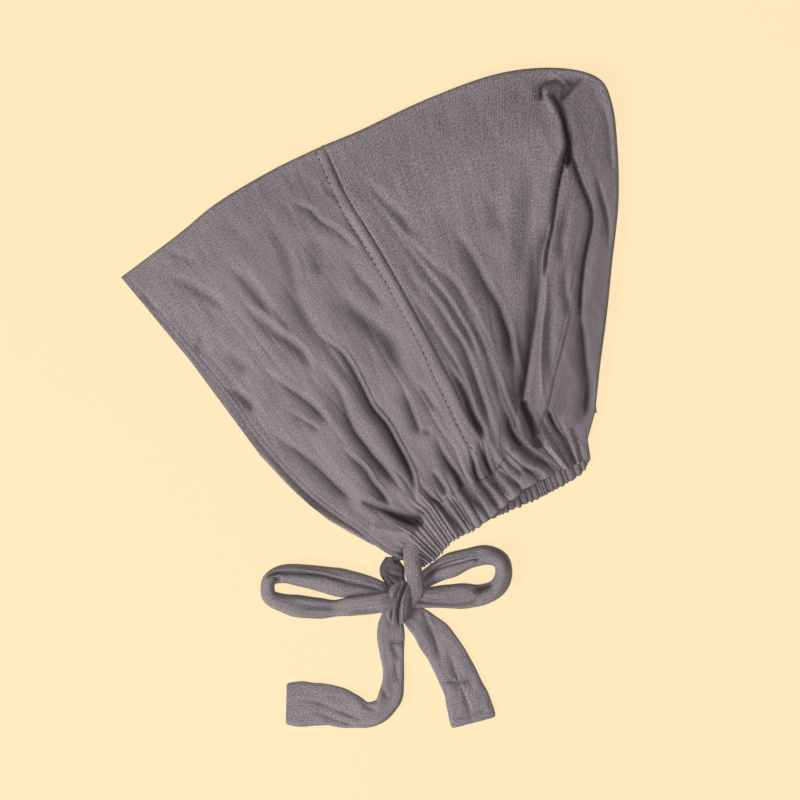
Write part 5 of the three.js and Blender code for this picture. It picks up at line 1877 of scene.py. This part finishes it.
@dataclass
class Stitches:
    """A row of stitches that are sunk into the cloth, near black as painted shade of their needle holes."""

    plan: Plan
    stitch_shade: bpy.types.Material
    pitch: float = 4.1 * MM
    length: float = 1.7 * MM
    radius: float = 0.55 * MM
    sink: float = 0.15 * MM
    sides: int = 6
    rings: int = 5
    blunt: float = 0.04
    ahead: float = 0.002

    def build(self, name: str, route: Route, cloth_points: np.ndarray) -> None:
        """Build all stitches as one joined mesh.

        Args:
            name: name of the piece.
            route: the row's route in thousandths of the cap.
            cloth_points: the points of the cloth that they go through.
        """
        row = self.plan.curve(route)
        count = int(row.length / self.pitch)
        shares = (np.arange(count) + 0.5) / count
        at = row.at(shares)
        way = row.at(np.minimum(shares + self.ahead, 1.0)) - at
        way /= np.linalg.norm(way, axis=1, keepdims=True)
        spots = [np.argmin(np.sum((cloth_points[:, :2] - spot) ** 2, axis=1)) for spot in at]
        height = cloth_points[spots, 2] - self.sink
        cloth = Cloth()
        turn = np.linspace(0, 2 * np.pi, self.sides, endpoint=False)
        for spot, direction, z in zip(at, way, height):
            side = np.array([direction[1], -direction[0]])
            rings = []
            for t in np.linspace(-1, 1, self.rings):
                fat = self.radius * math.sqrt(max(1 - t * t, self.blunt))
                middle = spot + direction * 0.5 * self.length * t
                rings.append(lifted(middle + np.outer(np.cos(turn) * fat, side), z + np.sin(turn) * fat))
            grid = np.array(rings)
            cloth.tube(grid, grid[..., :2], 0.0)
        settle(cloth.build(name, self.stitch_shade), "jersey")


@dataclass
class Studio:
    """The plain cream surface, the soft lights and the camera straight above.

    A light is its name, its place, the side of its square in metres and its power in watts.
    """

    plan: Plan
    view_middle: tuple[float, float] = (560.0, 666.0)
    view_width: float = 1.6
    view_height: float = 8 * MM
    lens: float = 200.0
    sensor: float = 36.0
    floor_size: float = 6.0
    lights: tuple[tuple[str, tuple[float, float, float], float, float], ...] = (
        ("overhead", (0.1, -0.1, 1.6), 0.7, 14.5), ("side", (-1.1, -0.8, 0.75), 0.5, 24.0))
    air: tuple[float, float, float, float] = (1.0, 0.985, 0.96, 1.0)
    air_strength: float = 0.08

    def build(self) -> None:
        """Build all of it."""
        scene = bpy.context.scene
        bpy.ops.mesh.primitive_plane_add(size=self.floor_size)
        floor = bpy.context.object
        floor.name = "surface"
        floor.data.materials.append(FloorFinish().build())
        scene.view_settings.view_transform = "Standard"
        for name, at, size, power in self.lights:
            data = bpy.data.lights.new(name, "AREA")
            data.size = size
            data.energy = power
            lamp = bpy.data.objects.new(name, data)
            lamp.location = at
            lamp.rotation_euler = lamp.location.to_track_quat("Z", "Y").to_euler()
            lamp.visible_camera = False
            scene.collection.objects.link(lamp)
        world = bpy.data.worlds.new("studio")
        world.use_nodes = True
        background = world.node_tree.nodes["Background"]
        background.inputs["Color"].default_value = self.air
        background.inputs["Strength"].default_value = self.air_strength
        scene.world = world
        middle = self.plan.place([self.view_middle])[0]
        width = self.view_width * self.plan.size[0]
        camera = bpy.data.objects.new("camera", bpy.data.cameras.new("camera"))
        camera.data.lens = self.lens
        camera.data.sensor_width = self.sensor
        camera.location = (*middle, width * self.lens / self.sensor + self.view_height)
        scene.collection.objects.link(camera)
        scene.camera = camera


def main() -> None:
    """Build the cap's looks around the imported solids."""
    logging.basicConfig(level=logging.INFO, format="%(message)s")
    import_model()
    plan = Plan()
    Studio(plan).build()
    drape = Drape(plan)
    effects = Effects()
    panels = Panels(plan, drape, effects)
    panels.build()
    casing = NeckCasing(plan, drape, effects)
    casing.build()
    Bow(plan, drape, effects).build()
    stitch_shade = STITCH_HOLE_SHADE.build(effects)
    Stitches(plan, stitch_shade).build("seam_stitches", STITCH_ROW, panels.near_points["front_panel"])
    Stitches(plan, stitch_shade, pitch=2.5 * MM, length=1.1 * MM, radius=0.34 * MM, sink=0.12 * MM).build(
        "gather_stitches", GATHER_ROW, casing.near_points)


if __name__ == "__main__":
    main()
